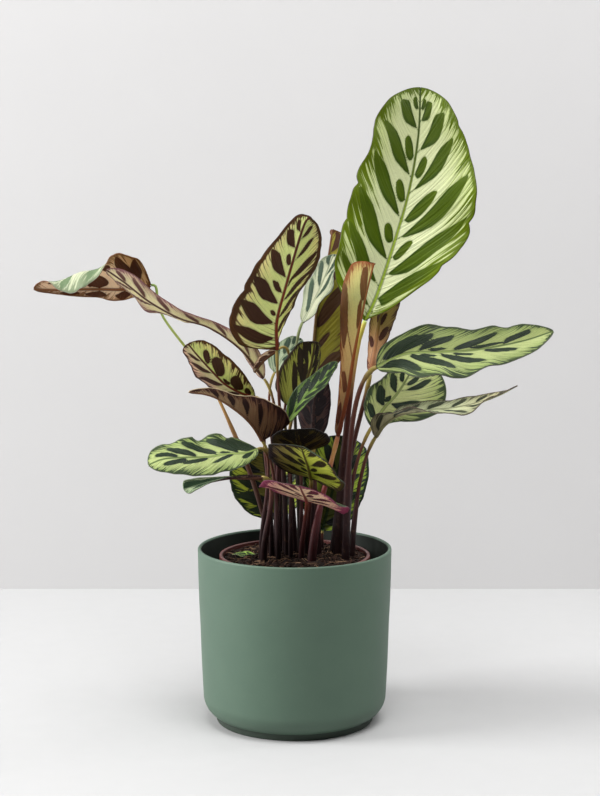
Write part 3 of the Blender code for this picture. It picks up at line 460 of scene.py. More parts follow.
MAUVE = tints((224, 214, 182), (196, 166, 152), (104, 70, 62), (126, 86, 84), (146, 100, 106),
              (120, 76, 82), (150, 120, 108), (80, 52, 46), (90, 60, 56))
MAROON = tints((150, 126, 100), (122, 92, 82), (50, 30, 34), (62, 38, 42), (84, 52, 56),
               (54, 32, 34), (86, 60, 56), (96, 62, 48), (80, 50, 44))
DARK = tints((128, 134, 48), (96, 96, 40), (34, 24, 26), (40, 28, 28), (42, 30, 28), (30, 22, 20),
             (52, 46, 28), (70, 52, 38), (54, 40, 32))
ROSE = tints((240, 214, 172), (214, 156, 142), (76, 28, 34), (104, 42, 60), (142, 62, 90),
             (110, 46, 68), (140, 80, 78), (130, 62, 50), (120, 54, 54))
PEACH = tints((250, 226, 196), (240, 206, 168), (96, 54, 38), (112, 60, 32), (196, 150, 112),
              (150, 110, 84), (206, 168, 132), (150, 100, 70), (170, 120, 84))
GOLD = tints((186, 190, 86), (146, 150, 62), (38, 28, 18), (48, 34, 20), (52, 40, 22), (36, 28, 18),
             (88, 86, 34), (96, 84, 40), (70, 56, 32))
BRONZE = tints((196, 168, 132), (160, 120, 98), (58, 34, 32), (74, 42, 42), (88, 52, 50),
               (206, 186, 150), (120, 84, 70), (176, 140, 104), (140, 100, 80))
TAN = tints((222, 184, 148), (192, 148, 114), (92, 50, 40), (104, 60, 44), (122, 74, 54),
            (96, 56, 42), (168, 126, 96), (206, 160, 120), (150, 120, 60))
MIST = tints((228, 234, 216), (208, 220, 194), (112, 140, 104), (138, 162, 126), (160, 172, 146),
             (210, 216, 204), (138, 158, 124), (190, 204, 178), (150, 166, 142))

# The upper side and the underside of each leaf. Key -1 stands for the leaves that aren't listed.
# Leaf 3's pale blue-grey upper side is partly its own pale green and partly painted sheen.
SIDES = {-1: (FRESH, MAROON), 0: (COOL, MAROON), 2: (FRESH, LIME), 3: (SAGE, MAROON),
         4: (FRESH, OLIVE), 5: (FRESH, CREAM), 6: (FRESH, TAN), 7: (COOL, MAROON),
         8: (COOL, MAROON), 9: (GREY, GREY), 10: (MIST, PEACH), 11: (SAGE, MAUVE), 12: (COOL, LIME),
         13: (GREY, BRONZE), 14: (DEEP, GOLD), 15: (COOL, MAROON), 16: (DEEP, MAROON),
         17: (COOL, MAROON), 18: (SAGE, MAROON), 19: (DEEP, MAROON), 20: (DEEP, MAROON),
         21: (COOL, GOLD), 22: (COOL, ROSE), 23: (DEEP, DARK), 24: (SAGE, MAROON),
         25: (SAGE, PEACH)}
# Washes of colour over the upper side (0) or underside (1) of a leaf: all over, along the midrib,
# at stops from base to tip, or at stops across from the left margin to the right one. Some of them
# are painted light or shade where noted. What is lit tints the light let through.
WASH = {
    # The fallen leaf is washed greener and paler, partly as painted light where the stalks shade
    # it.
    (0, 0): dict(all=(1.1, 1.4, 0.55)),
    (1, 0): dict(stops=((0.0, (0.98, 0.98, 0.95)), (0.45, (0.9, 0.9, 0.86)),
        (0.8, (0.76, 0.76, 0.68)), (1.0, (0.7, 0.72, 0.6)))),
    (2, 1): dict(all=(1.2, 1.15, 1.15)),
    (3, 0): dict(all=(0.82, 0.76, 0.66)),
    (4, 1): dict(stops=((0.0, (1.1, 0.95, 0.8)), (0.45, (1.1, 0.9, 0.75)), (0.62, (1.3, 1.2, 1.0)),
        (1.0, (2.0, 1.6, 1.9)))),
    # Leaf 5's underside darkens towards its base, partly its own brown and partly painted shade.
    (5, 1): dict(stops=((0.0, (0.4, 0.2, 0.18)), (0.28, (0.66, 0.44, 0.34)),
        (0.5, (0.82, 0.62, 0.48)), (0.66, (0.86, 0.78, 0.58)), (0.8, (0.92, 0.98, 0.84)),
        (0.93, (1.0, 1.0, 0.8)), (1.0, (1.0, 0.8, 0.55)))),
    (6, 1): dict(stops=((0.0, (0.75, 0.5, 0.45)), (0.22, (1.0, 0.92, 0.9)),
        (0.42, (0.9, 0.8, 0.62)), (0.6, (0.66, 0.74, 0.38)), (1.0, (0.52, 0.68, 0.25)))),
    # Leaf 7's left half is darker than its right one: painted shade.
    (7, 0): dict(across=((0.48, (0.7, 0.7, 0.62)), (0.52, (1.04, 1.02, 1.04)))),
    # Leaf 8's upper side is washed paler: painted light where another leaf shades it.
    (8, 0): dict(all=(1.7, 1.6, 1.75)),
    (9, 0): dict(stops=((0.0, (0.7, 0.75, 0.7)), (0.6, (1, 1, 1)), (1.0, (1.2, 1.0, 0.95)))),
    (9, 1): dict(stops=((0.0, (0.55, 0.42, 0.42)), (0.3, (0.9, 0.8, 0.75)),
        (1.0, (1.1, 1.0, 0.95)))),
    (10, 0): dict(all=(0.9, 0.92, 0.82), lit=(1.0, 0.92, 1.0)),
    (10, 1): dict(stops=((0.0, (0.66, 0.52, 0.36)), (0.18, (0.85, 0.72, 0.56)),
        (0.3, (1.04, 1.04, 1.06)), (1.0, (1.06, 1.04, 1.1))), lit=(1.0, 0.86, 0.84)),
    (11, 1): dict(all=(1.25, 1.25, 1.2)),
    (12, 1): dict(across=((0.0, (1.24, 1.18, 0.92)), (0.47, (1.24, 1.18, 0.92)),
        (0.53, (1.1, 0.9, 1.1)), (1.0, (0.75, 0.44, 0.75)))),
    (13, 1): dict(stops=((0.0, (0.46, 0.32, 0.3)), (0.3, (0.6, 0.44, 0.42)),
        (0.6, (0.85, 0.76, 0.72)), (1.0, (1.0, 0.95, 0.9)))),
    (14, 1): dict(stops=((0.0, (0.8, 0.75, 0.8)), (0.5, (1.2, 1.2, 1.2)), (1.0, (1.1, 1.05, 1.0)))),
    # Leaf 15's upper side is washed darker: painted shade.
    (15, 0): dict(all=(0.5, 0.66, 0.36)),
    (16, 0): dict(all=(0.6, 0.6, 0.6)),
    (16, 1): dict(all=(0.22, 0.14, 0.17)),
    (17, 0): dict(all=(1.25, 1.25, 1.25)),
    (18, 0): dict(stops=((0.0, (0.3, 0.12, 0.14)), (0.35, (0.4, 0.24, 0.2)),
        (0.5, (0.85, 0.92, 0.7)), (1.0, (1.1, 1.2, 0.95)))),
    # Leaves 19 and 20: the dark middle is painted shade, and the wash all over is partly their lime
    # and partly painted light.
    (19, 0): dict(middle=(0.16, 0.13, 0.16), all=(4.1, 3.9, 2.8)),
    (20, 0): dict(middle=(0.1, 0.09, 0.12), all=(3.8, 4.3, 3.2)),
    (21, 1): dict(across=((0.0, (1.5, 1.5, 1.25)), (0.5, (1.4, 1.4, 1.2)), (0.68, (0.8, 0.66, 0.9)),
        (1.0, (0.36, 0.16, 0.6)))),
    (22, 1): dict(all=(1.12, 1.04, 1.1)),
    (23, 0): dict(all=(0.45, 0.32, 0.4)),
    (23, 1): dict(all=(0.5, 0.3, 0.4)),
    (24, 0): dict(all=(0.62, 0.66, 0.55)),
    (25, 1): dict(all=(0.62, 0.6, 0.62)),
}
# Gloss of the upper side and the underside, and the tint of the light let through.
GLOSS = (0.34, 0.42)
LIT = ((1.0, 1.0, 0.5), (1.0, 0.92, 0.75))
# Colours along a stalk, from the soil to the blade. Row 0 is for the stalks that aren't listed.
# The darkest stops by the soil are partly the stalks' own maroon and partly painted shade under the
# leaves.
STALKS = {
    0: ((0.0, (24, 10, 11)), (0.25, (38, 15, 16)), (0.5, (62, 27, 24)), (0.8, (92, 50, 34)),
        (0.93, (146, 128, 62)), (1.0, (150, 132, 70))),
    1: ((0.0, (26, 11, 11)), (0.35, (48, 19, 18)), (0.58, (84, 36, 26)), (0.74, (176, 140, 84)),
        (0.9, (172, 160, 62)), (0.96, (186, 170, 74)), (1.0, (176, 196, 96))),
    3: ((0.0, (26, 14, 12)), (0.5, (46, 38, 26)), (1.0, (120, 130, 84))),
    5: ((0.0, (34, 12, 14)), (0.4, (78, 26, 28)), (0.7, (124, 48, 42)), (0.86, (186, 136, 82)),
        (1.0, (150, 90, 60))),
    10: ((0.0, (30, 13, 12)), (0.3, (70, 40, 26)), (0.5, (150, 112, 62)), (0.62, (176, 140, 78)),
        (0.7, (140, 146, 70)), (1.0, (128, 150, 76))),
    22: ((0.0, (28, 11, 12)), (0.5, (70, 30, 28)), (1.0, (118, 62, 46))),
}


def unit(v):
    """Each row scaled to length 1."""
    return v / np.linalg.norm(v, axis=-1, keepdims=True)


def spline(rows, t):
    """A smooth curve through the rows, read at t from 0 to 1."""
    p = np.asarray(rows, float)
    if len(p) == 1:
        return np.repeat(p, len(t), axis=0)
    q = np.vstack([2 * p[0] - p[1], p, 2 * p[-1] - p[-2]])
    x = np.clip(t, 0, 1) * (len(p) - 1)
    i = np.minimum(x.astype(int), len(p) - 2)
    f = (x - i)[:, None]
    a, b, c, d = q[i], q[i + 1], q[i + 2], q[i + 3]
    return 0.5 * (2 * b + (c - a) * f + (2 * a - 5 * b + 4 * c - d) * f**2
                  + (3 * b - a - 3 * c + d) * f**3)


def along(rows, share):
    """Points and directions at shares of the curve's length, and that length."""
    curve = spline(rows, np.linspace(0, 1, CURVE_SAMPLES))
    steps = np.linalg.norm(np.diff(curve, axis=0), axis=1)
    length = np.concatenate([[0], np.cumsum(steps)])
    at = share * length[-1]
    points, ways = (np.stack([np.interp(at, length, rows[:, k]) for k in range(3)], axis=1)
                    for rows in (curve, np.gradient(curve, axis=0)))
    return points, unit(ways), length[-1]


def half_blade(u, t, widths, bend, wave, cap):
    """How far one half of a blade lies to its side and above its midrib; columns run outward."""
    ends = np.clip(u / cap, 0, 1), np.clip((1 - u) / cap, 0, 1)
    half = spline(np.reshape(widths, (-1, 1)), u)[:, 0]
    half = half * np.sqrt(1 - (1 - ends[0]) ** 2) * np.sqrt(1 - (1 - ends[1]) ** 2)
    half = np.maximum(half, 1.0)
    fold, curl = np.radians(spline(bend, u)).T * np.clip(half / FLAT_BELOW, 0, 1)
    mid = (np.arange(BEND_SAMPLES) + 0.5) / BEND_SAMPLES
    angle = fold[:, None] + curl[:, None] * mid
    start = np.zeros((len(u), 1))
    knots = np.linspace(0, 1, BEND_SAMPLES + 1)
    out, up = (np.hstack([start, np.cumsum(turn(angle), axis=1)]) * half[:, None] / BEND_SAMPLES
               for turn in (np.cos, np.sin))
    out, up = (np.stack([np.interp(t, knots, row) for row in rows]) for rows in (out, up))
    angle = fold[:, None] + curl[:, None] * t
    height, count, phase = wave
    swing = np.sin(2 * math.pi * (count * u + phase)) * height * half / max(widths)
    ripple = swing[:, None] * t**2
    return out - np.sin(angle) * ripple, up + np.cos(angle) * ripple


def stalk_points(leaf):
    """A stalk's centre line, upright in the soil and in line with the midrib where it ends."""
    base, way, _ = along(leaf.midrib, np.array([0.0]))
    knots = [np.array([*leaf.foot, SOIL_TOP + STALK_RISE])]
    knots += [np.array(p, float) for p in leaf.via]
    knots.append(base[0] - way[0] * STALK_CLEAR)
    first, last = knots[1] - knots[0], knots[-1] - knots[-2]
    slopes = [unit(first * (leaf.lean, leaf.lean, 1)) * np.linalg.norm(first)]
    slopes += [(after - before) / 2 for before, after in zip(knots, knots[2:])]
    slopes.append(way[0] * min(0.9 * np.linalg.norm(last), LONGEST_PULL))
    points = [np.array([*leaf.foot, SOIL_TOP - STALK_SINK])]
    for a, b, at_a, at_b in zip(knots, knots[1:], slopes, slopes[1:]):
        count = max(4, round(np.linalg.norm(b - a) / STALK_STEP))
        for s in np.arange(count) / count:
            points.append((2 * s**3 - 3 * s**2 + 1) * a + (s**3 - 2 * s**2 + s) * at_a
                          + (3 * s**2 - 2 * s**3) * b + (s**3 - s**2) * at_b)
    return points + [knots[-1]]


def soil_lump(x, y):
    """How far the soil's surface rises over its level, in millimetres."""
    waves = math.sin(0.21 * x + 0.8) * math.cos(0.17 * y) + 0.6 * math.sin(0.37 * y - 0.29 * x)
    return SOIL_LUMP * waves / 1.6 - 0.5 * SOIL_LUMP


def rgb(colour):
    """Linear colour from 0 to 255 as a screen shows it."""
    share = np.asarray(colour, float) / 255
    linear = np.where(share <= 0.04045, share / 12.92, ((share + 0.055) / 1.055) ** 2.4)
    return (*linear.tolist(), 1.0)


class Look:
    """A material with its nodes and short ways to wire them."""

    def __init__(self, name):
        self.material = bpy.data.materials.new(name)
        self.material.use_nodes = True
        self.tree = self.material.node_tree
        self.tree.nodes.clear()
        self.surface = self.node("OutputMaterial").inputs["Surface"]

    def node(self, kind, *values, **named):
        """A node with its first inputs set, and others by name."""
        made = self.tree.nodes.new("ShaderNode" + kind)
        self.fill(made, [*enumerate(values), *named.items()])
        return made

    def fill(self, made, inputs):
        """Sets a node's inputs to other nodes' outputs or constants."""
        for key, value in inputs:
            if isinstance(value, bpy.types.NodeSocket):
                self.tree.links.new(value, made.inputs[key])
            elif value is not None:
                made.inputs[key].default_value = value

    def math(self, operation, *values):
        made = self.node("Math", *values)
        made.operation = operation
        return made.outputs[0]

    def times(self, a, b):
        return self.math("MULTIPLY", a, b)

    def plus(self, a, b):
        return self.math("ADD", a, b)

    def scaled(self, a, factor, start):
        """start and factor times a."""
        return self.math("MULTIPLY_ADD", a, factor, start)

    def without(self, a):
        """1 less a."""
        return self.math("SUBTRACT", 1.0, a)

    def smooth(self, value, low, high):
        """0 under low, 1 over high and an even change between them."""
        made = self.node("MapRange", value, low, high, 0.0, 1.0)
        made.interpolation_type = "SMOOTHSTEP"
        return made.outputs[0]

    def mix(self, share, a, b, how="MIX"):
        """Colour a, with this share of colour b."""
        made = self.node("Mix", share)
        made.data_type = "RGBA"
        made.blend_type = how
        self.fill(made, ((6, a), (7, b)))
        return made.outputs[2]

    def tint(self, colour, by):
        """The colour times a tint, a shade of grey or another colour."""
        return self.mix(1.0, colour, (*by, 1) if isinstance(by, tuple) else by, "MULTIPLY")

    def grey(self, value):
        return self.join(value, value, value)

    def uv(self, name):
        """Both numbers of a UV map."""
        made = self.node("UVMap")
        made.uv_map = name
        return self.node("SeparateXYZ", made.outputs[0]).outputs[:2]

    def place(self):
        """Where a point is on the object, in metres."""
        return self.node("TexCoord").outputs["Object"]

    def join(self, x, y, z):
        return self.node("CombineXYZ", x, y, z).outputs[0]

    def noise(self, vector, scale, detail=2.0, rough=0.5):
        made = self.node("TexNoise", Vector=vector, Scale=scale, Detail=detail, Roughness=rough)
        return made.outputs["Fac"]

    def ramp(self, value, stops):
        """The colour at this value, from stops of a place and a colour."""
        made = self.node("ValToRGB", value)
        ends = made.color_ramp.elements
        while len(ends) < len(stops):
            ends.new(0.5)
        for end, (position, colour) in zip(ends, stops):
            end.position = position
            end.color = colour
        return made.outputs[0]

    def bump(self, height, strength, distance):
        return self.node("Bump", Strength=strength, Distance=distance, Height=height).outputs[0]

    def finish(self, colour, roughness, normal=None, specular=0.5, through=0.0, glow=None):
        """The surface itself, with some light let through where through is set."""
        surface = self.node("BsdfPrincipled", Roughness=roughness, Normal=normal, **{
            "Base Color": colour, "Specular IOR Level": specular}).outputs[0]
        if through:
            passed = self.node("BsdfTranslucent", Color=glow).outputs[0]
            surface = self.node("MixShader", through, surface, passed).outputs[0]
        self.tree.links.new(surface, self.surface)
        return self.material

    def one_sided(self):
        """Nothing is seen of the surface from its back."""
        back = self.node("NewGeometry").outputs["Backfacing"]
        clear = self.node("BsdfTransparent").outputs[0]
        both = self.node("MixShader", back, self.surface.links[0].from_socket, clear)
        self.tree.links.new(both.outputs[0], self.surface)


def blade_look(name, colours, wash, seed, gloss, through, lit, pace, band_at):
    """One side of a blade: ground, comb-edged margin, vein lines, feathered marks and midrib."""
    look = Look(name)
    times, plus, scaled, smooth, mix = look.times, look.plus, look.scaled, look.smooth, look.mix
    c = {key: rgb(value) for key, value in colours.items()}
    q, t = look.uv("veins")
    mark, out = look.uv("marks")
    edge, mid = look.uv("edges")
    u, rim = look.uv("place")
    side = look.math("ABSOLUTE", t)

    def strokes(per_cm, along_t):
        """Streaks along the veins, this many to a centimetre of the midrib."""
        way = look.join(times(q, per_cm * pace), times(t, along_t), seed)
        return look.noise(way, 1.0, 2.0, 0.55)

    coarse = strokes(3.6, 0.5)
    streak = strokes(7.2, 1.0)
    fine = strokes(26.0, 2.2)
    broad = strokes(1.6, 1.2)

    # The ground, paler by the midrib, with its vein lines.
    toward = plus(side, scaled(streak, 0.5, -0.25))
    colour = mix(smooth(toward, 0.3, 0.95), c["ground"], c["outer"])
    wander = scaled(broad, 2.4, times(q, 2.7 * pace))
    wave = look.math("ABSOLUTE", look.math("SUBTRACT", look.math("FRACT", wander), 0.5))
    wide = times(smooth(rim, 0.35, 1.05), -0.12)
    line = look.without(smooth(plus(wave, wide), 0.02, 0.08))
    faint = times(line, smooth(scaled(rim, 0.45, coarse), 0.6, 0.85))
    stripe = mix(smooth(rim, 0.4, 0.9), c["line"], c["margin"])
    colour = mix(times(faint, 0.85), colour, stripe)
    colour = mix(times(smooth(fine, 0.5, 0.72), 0.3), colour, c["line"])

    # A darker halo round the marks, then the comb-edged margin.
    depth = plus(mark, scaled(streak, 0.08, -0.04))
    colour = mix(times(smooth(depth, -0.1, 0.0), 0.35), colour, c["line"])
    pull = scaled(smooth(coarse, 0.4, 0.78), 0.42, times(smooth(streak, 0.4, 0.75), 0.2))
    near = plus(scaled(smooth(u, 0.74, 1.0), 0.12, rim), pull)
    comb = smooth(near, 0.99, 1.06)
    rind = smooth(scaled(coarse, 0.06, rim), band_at, band_at + 0.05)
    band = look.math("MAXIMUM", comb, rind)
    colour = mix(band, colour, mix(smooth(fine, 0.35, 0.7), c["margin"], c["mark_out"]))

    # The marks.
    outward = smooth(plus(out, scaled(streak, 0.6, -0.3)), 0.2, 1.0)
    heart = smooth(scaled(streak, 0.16, depth), 0.14, 0.36)
    outward = look.math("MAXIMUM", outward, times(heart, 0.7))
    patch = mix(outward, c["mark"], c["mark_out"])
    patch = mix(times(smooth(fine, 0.5, 0.75), 0.25), patch, c["line"])
    colour = mix(smooth(depth, -0.02, 0.025), colour, patch)

    # The midrib with a dark line on each side, and the blade's thin edge.
    rim_line = times(smooth(mid, 0.6, 0.9), look.without(smooth(mid, 1.1, 1.6)))
    colour = mix(times(rim_line, 0.6), colour, c["mark"])
    stem = mix(smooth(u, 0.25, 0.85), c["rib"], c["rib_tip"])
    colour = mix(look.without(smooth(mid, 0.75, 1.05)), colour, stem)
    hem = look.without(smooth(edge, 0.02, 0.07))
    colour = mix(times(hem, 0.8), colour, c["edge"])

    # A fine grain and the leaf's washes, some of which are painted light or shade.
    grain = scaled(look.noise(look.place(), 900.0), 0.24, 0.88)
    colour = look.tint(colour, look.grey(grain))
    if "all" in wash:
        colour = look.tint(colour, wash["all"])
    # A middle wash darkens the blade along its midrib: painted shade.
    if "middle" in wash:
        colour = look.tint(colour, mix(smooth(side, 0.3, 0.7), (*wash["middle"], 1), (1, 1, 1, 1)))
    for kind, value in (("stops", u), ("across", scaled(t, 0.5, 0.5))):
        if kind in wash:
            peak = max(max(stop) for _, stop in wash[kind])
            stops = [(at, (*[v / peak for v in stop], 1)) for at, stop in wash[kind]]
            colour = look.tint(look.tint(colour, look.ramp(value, stops)), (peak, peak, peak))

    relief = plus(streak, scaled(coarse, 1.6, times(fine, 0.3)))
    normal = look.bump(scaled(wave, 0.9, relief), 0.6, 0.0008)
    glow = look.tint(colour, wash.get("lit", lit))
    return look.finish(colour, scaled(streak, 0.18, gloss), normal, 0.28, through, glow)


def hem_look(name, colour):
    """The cut edge of a blade."""
    look = Look(name)
    grain = look.noise(look.place(), 700.0)
    return look.finish(look.mix(grain, rgb(colour), rgb([v * 0.6 for v in colour])), 0.55)


def stalk_look(number):
    """A stalk: reddish, dark at the soil partly as painted shade, lengthwise lines, a paler joint
    on top.
    """
    look = Look(f"stalk_{number:02d}_finish")
    share = look.uv("place")[0]
    length, around = look.uv("veins")
    colour = look.ramp(share, [(at, rgb(stop)) for at, stop in STALKS.get(number, STALKS[0])])
    way = look.join(look.times(around, 9.0), look.times(length, 0.5), number)
    lines = look.noise(way, 1.0, 3.0, 0.6)
    spots = look.noise(look.place(), 260.0, 3.0)
    colour = look.tint(colour, look.grey(look.scaled(lines, 0.9, 0.5)))
    colour = look.mix(look.times(look.smooth(spots, 0.58, 0.8), 0.14), colour, rgb((150, 110, 76)))
    normal = look.bump(lines, 0.4, 0.0004)
    return look.finish(colour, look.scaled(spots, 0.2, 0.34), normal, 0.3)


def pot_look():
    """Matt sage glaze with a faint mottle and fine grain."""
    look = Look("sage_glaze")
    place = look.place()
    mottle = look.noise(place, 38.0, 4.0, 0.55)
    grain = look.noise(place, 1500.0)
    colour = look.mix(mottle, rgb((75, 97, 82)), rgb((82, 104, 88)))
    speck = look.smooth(look.noise(place, 620.0, 1.0), 0.68, 0.74)
    colour = look.mix(look.times(speck, 0.18), colour, rgb((92, 112, 98)))
    normal = look.bump(look.scaled(grain, 0.5, mottle), 0.12, 0.0003)
    return look.finish(colour, look.scaled(grain, 0.12, 0.5), normal, 0.4)


def plain_look(name, dark, light, scale, roughness, relief=0.2, specular=0.4):
    """A finish that wanders between two colours."""
    look = Look(name)
    place = look.place()
    cloud = look.noise(place, scale, 4.0, 0.6)
    normal = look.bump(look.noise(place, scale * 6, 3.0), relief, 0.0004)
    return look.finish(look.mix(cloud, rgb(dark), rgb(light)), look.scaled(cloud, 0.15, roughness),
                       normal, specular)


def soil_look():
    """Dark peat with reddish coir and paler specks."""
    look = Look("peat")
    place = look.place()
    clod = look.noise(place, 160.0, 5.0, 0.7)
    grit = look.noise(place, 900.0, 3.0, 0.7)
    colour = look.mix(look.smooth(clod, 0.35, 0.7), rgb((15, 12, 10)), rgb((48, 31, 24)))
    colour = look.mix(look.times(look.smooth(grit, 0.62, 0.72), 0.6), colour, rgb((104, 70, 48)))
    normal = look.bump(look.scaled(grit, 0.4, clod), 0.8, 0.002)
    return look.finish(colour, 0.95, normal, 0.15)


def add(name, data):
    """A new object in the scene."""
    made = bpy.data.objects.new(name, data)
    bpy.context.scene.collection.objects.link(made)
    return made


def mesh_of(name, verts, faces, looks, index=None):
    """A smooth mesh object with its materials; index gives each face's."""
    mesh = bpy.data.meshes.new(name)
    mesh.from_pydata([tuple(float(x) for x in v) for v in verts], [], faces)
    for look in looks:
        mesh.materials.append(look)
    if index is not None:
        mesh.polygons.foreach_set("material_index", index)
    mesh.shade_smooth()
    return add(name, mesh)


def set_uv(made, name, first, second):
    """A UV map from two numbers a vertex."""
    values = np.stack(np.broadcast_arrays(first, second), -1).reshape(-1, 2)
    layer = made.data.uv_layers.new(name=name)
    corners = np.zeros(len(made.data.loops), dtype=np.int32)
    made.data.loops.foreach_get("vertex_index", corners)
    layer.data.foreach_set("uv", np.asarray(values, np.float32)[corners].ravel())


def seat(made, slot, *nodes):
    """The piece rides the root body and stands for its CAD nodes; its slot is not used."""
    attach(made, "root")
    if nodes:
        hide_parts(*nodes)


def marks_of(number, length):
    """The marks of a leaf's left and right half, from its list or spaced along the midrib."""
    if number in MARKS:
        return MARKS[number]
    if number in STREAKED:
        ways = max(3, round(length / STREAKED[number]))
        wide = min(2.0, 0.17 * length / ways)
        marks = [((k + 0.4) / ways, (k + 0.4) / ways, 0.08, 0.92, wide) for k in range(ways)]
        return marks, [(a + 0.5 / ways, b + 0.5 / ways, c, d, e) for a, b, c, d, e in marks]
    pairs = max(3, round(length / PAIR_PITCH))
    pitch = 0.82 / pairs
    halves = []
    for side in (0, 1):
        marks = []
        for k in range(pairs):
            at = 0.06 + pitch * (k + 0.25 + 0.5 * side)
            swell = math.sin(math.pi * min(0.95, 0.2 + 0.75 * k / pairs))
            big = 0.3 * pitch * length * (0.55 + 0.45 * swell)
            marks.append((at, at, 0.12, 0.74, big))
            marks.append((at + 0.5 * pitch, at + 0.5 * pitch, 0.07, 0.26, 0.42 * big))
        halves.append(marks)
    return halves


def grown_points(leaf, rows, columns):
    """The blade's middle surface with finer columns by the midrib, and its u and t."""
    k = np.arange(rows + 1) / rows
    u = 0.35 * k + 0.65 * (0.5 - 0.5 * np.cos(math.pi * k))
    t = (np.arange(columns + 1) / columns) ** 1.3
    rib, way, length = along(leaf.midrib, u)
    face = spline(leaf.face, u)
    normal = unit(face - (face * way).sum(axis=1, keepdims=True) * way)
    side = np.cross(way, normal)
    left, left_up = half_blade(u, t, leaf.left, leaf.left_bend, leaf.left_wave, leaf.cap)
    right, right_up = half_blade(u, t, leaf.right, leaf.right_bend, leaf.right_wave, leaf.cap)
    across = np.hstack([-left[:, :0:-1], right])
    above = np.hstack([left_up[:, :0:-1], right_up])
    points = rib[:, None] + across[..., None] * side[:, None] + above[..., None] * normal[:, None]
    return points, u, np.concatenate([-t[:0:-1], t]), length


def ragged(points, u, t, columns, number):
    """The blade with its margins drawn in a little, unevenly and at its notches."""
    out = points.copy()
    for side, half in ((-1, slice(columns, None, -1)), (1, slice(columns, None))):
        reach = np.abs(t[half])
        for i, share in enumerate(u):
            depth = RAGGED * (0.6 + noise.noise(Vector((share * 8.0, side * 4.0 + number, 2.0))))
            depth += FINE_RAGGED * noise.noise(Vector((share * 24.0, side * 4.0 + number, 5.0)))
            for at, wide, deep in NOTCHES.get((number, side), ()):
                depth += deep * math.exp(-abs((share - at) / wide) ** 1.4)
            drawn = reach * (1 - max(0.0, depth) * reach**3)
            row = points[i, half]
            out[i, half] = np.stack([np.interp(drawn, reach, row[:, k]) for k in range(3)], axis=1)
    return out


def grid_normals(points):
    """The upper side's direction at each point of a blade's grid."""
    return unit(np.cross(np.gradient(points, axis=1), np.gradient(points, axis=0)))


def crimps(u, t, number, length):
    """Crimps and ripples along a blade's margins, in millimetres."""
    out = np.zeros((len(u), len(t)))
    middle = len(t) // 2
    for i, share in enumerate(u):
        for side, half in ((-1.0, slice(0, middle)), (1.0, slice(middle, None))):
            value = noise.noise(Vector((share * 11.0, side * 3.0 + number, number * 1.7)))
            fine = noise.noise(Vector((share * 27.0, side * 5.0 - number, number * 0.7)))
            turn = 2 * math.pi * share * length / RIPPLE_LENGTH + side * 1.3 + number
            swell = math.sin(turn) * math.sin(math.pi * share) ** 0.5
            out[i, half] = CRIMP * value + FINE_CRIMP * fine + RIPPLES.get(number, 0.0) * swell
    return out


def mark_field(number, u, t, far, half, length):
    """How deep inside a mark each point is, the vein it is on, and its share along the mark.

    The depth and the vein's place are in millimetres.
    """
    lean, more, curve = VEINS.get(number, VEINS[0])
    reach = np.abs(t)[None, :]
    y = np.abs(far)
    vein = (u[:, None] * length - lean * y - 0.5 * curve * y * reach) / (1 + more * y / length)
    slope = lean + more * vein / length + curve * reach
    shrink = (1 + more * y / length) / np.sqrt(1 + slope**2)
    depth = np.full(vein.shape, -9.0)
    place = np.zeros(vein.shape)
    for side, marks in zip((-1, 1), marks_of(number, length)):
        here = np.sign(t)[None, :] == side
        for near_q, far_q, start, end, width in marks:
            start = START_SHARE * start
            small = end - start < SMALL_BELOW
            if small:
                end = start + 0.72 * (end - start)
            s = (reach - start) / (end - start)
            inside = np.clip(s, 0, 1)
            centre = (near_q + (far_q - near_q) * inside) * length
            if small:
                lens = 1.55 * np.sin(math.pi * inside) ** 0.6
            elif (end - start) * half.max() < 5.2 * width:
                lens = 1.05 * np.sin(math.pi * inside**0.85) ** 0.62
            else:
                lens = (1.08 * np.clip(inside / 0.45, 0, 1) ** 0.8
                        * np.clip((1 - inside) / 0.42, 0, 1) ** 0.75)
            beyond = np.maximum(0, np.maximum(-s, s - 1)) * (end - start) * half
            off = np.abs(vein - centre) * shrink
            stalk = 0.07 * width + 0.12 - off - np.maximum(0, reach - start) * half
            d = np.maximum(SWELL * width * lens - off - beyond, stalk)
            better = here & (d > depth)
            depth = np.where(better, d, depth)
            place = np.where(better, inside, place)
    return depth, vein, place


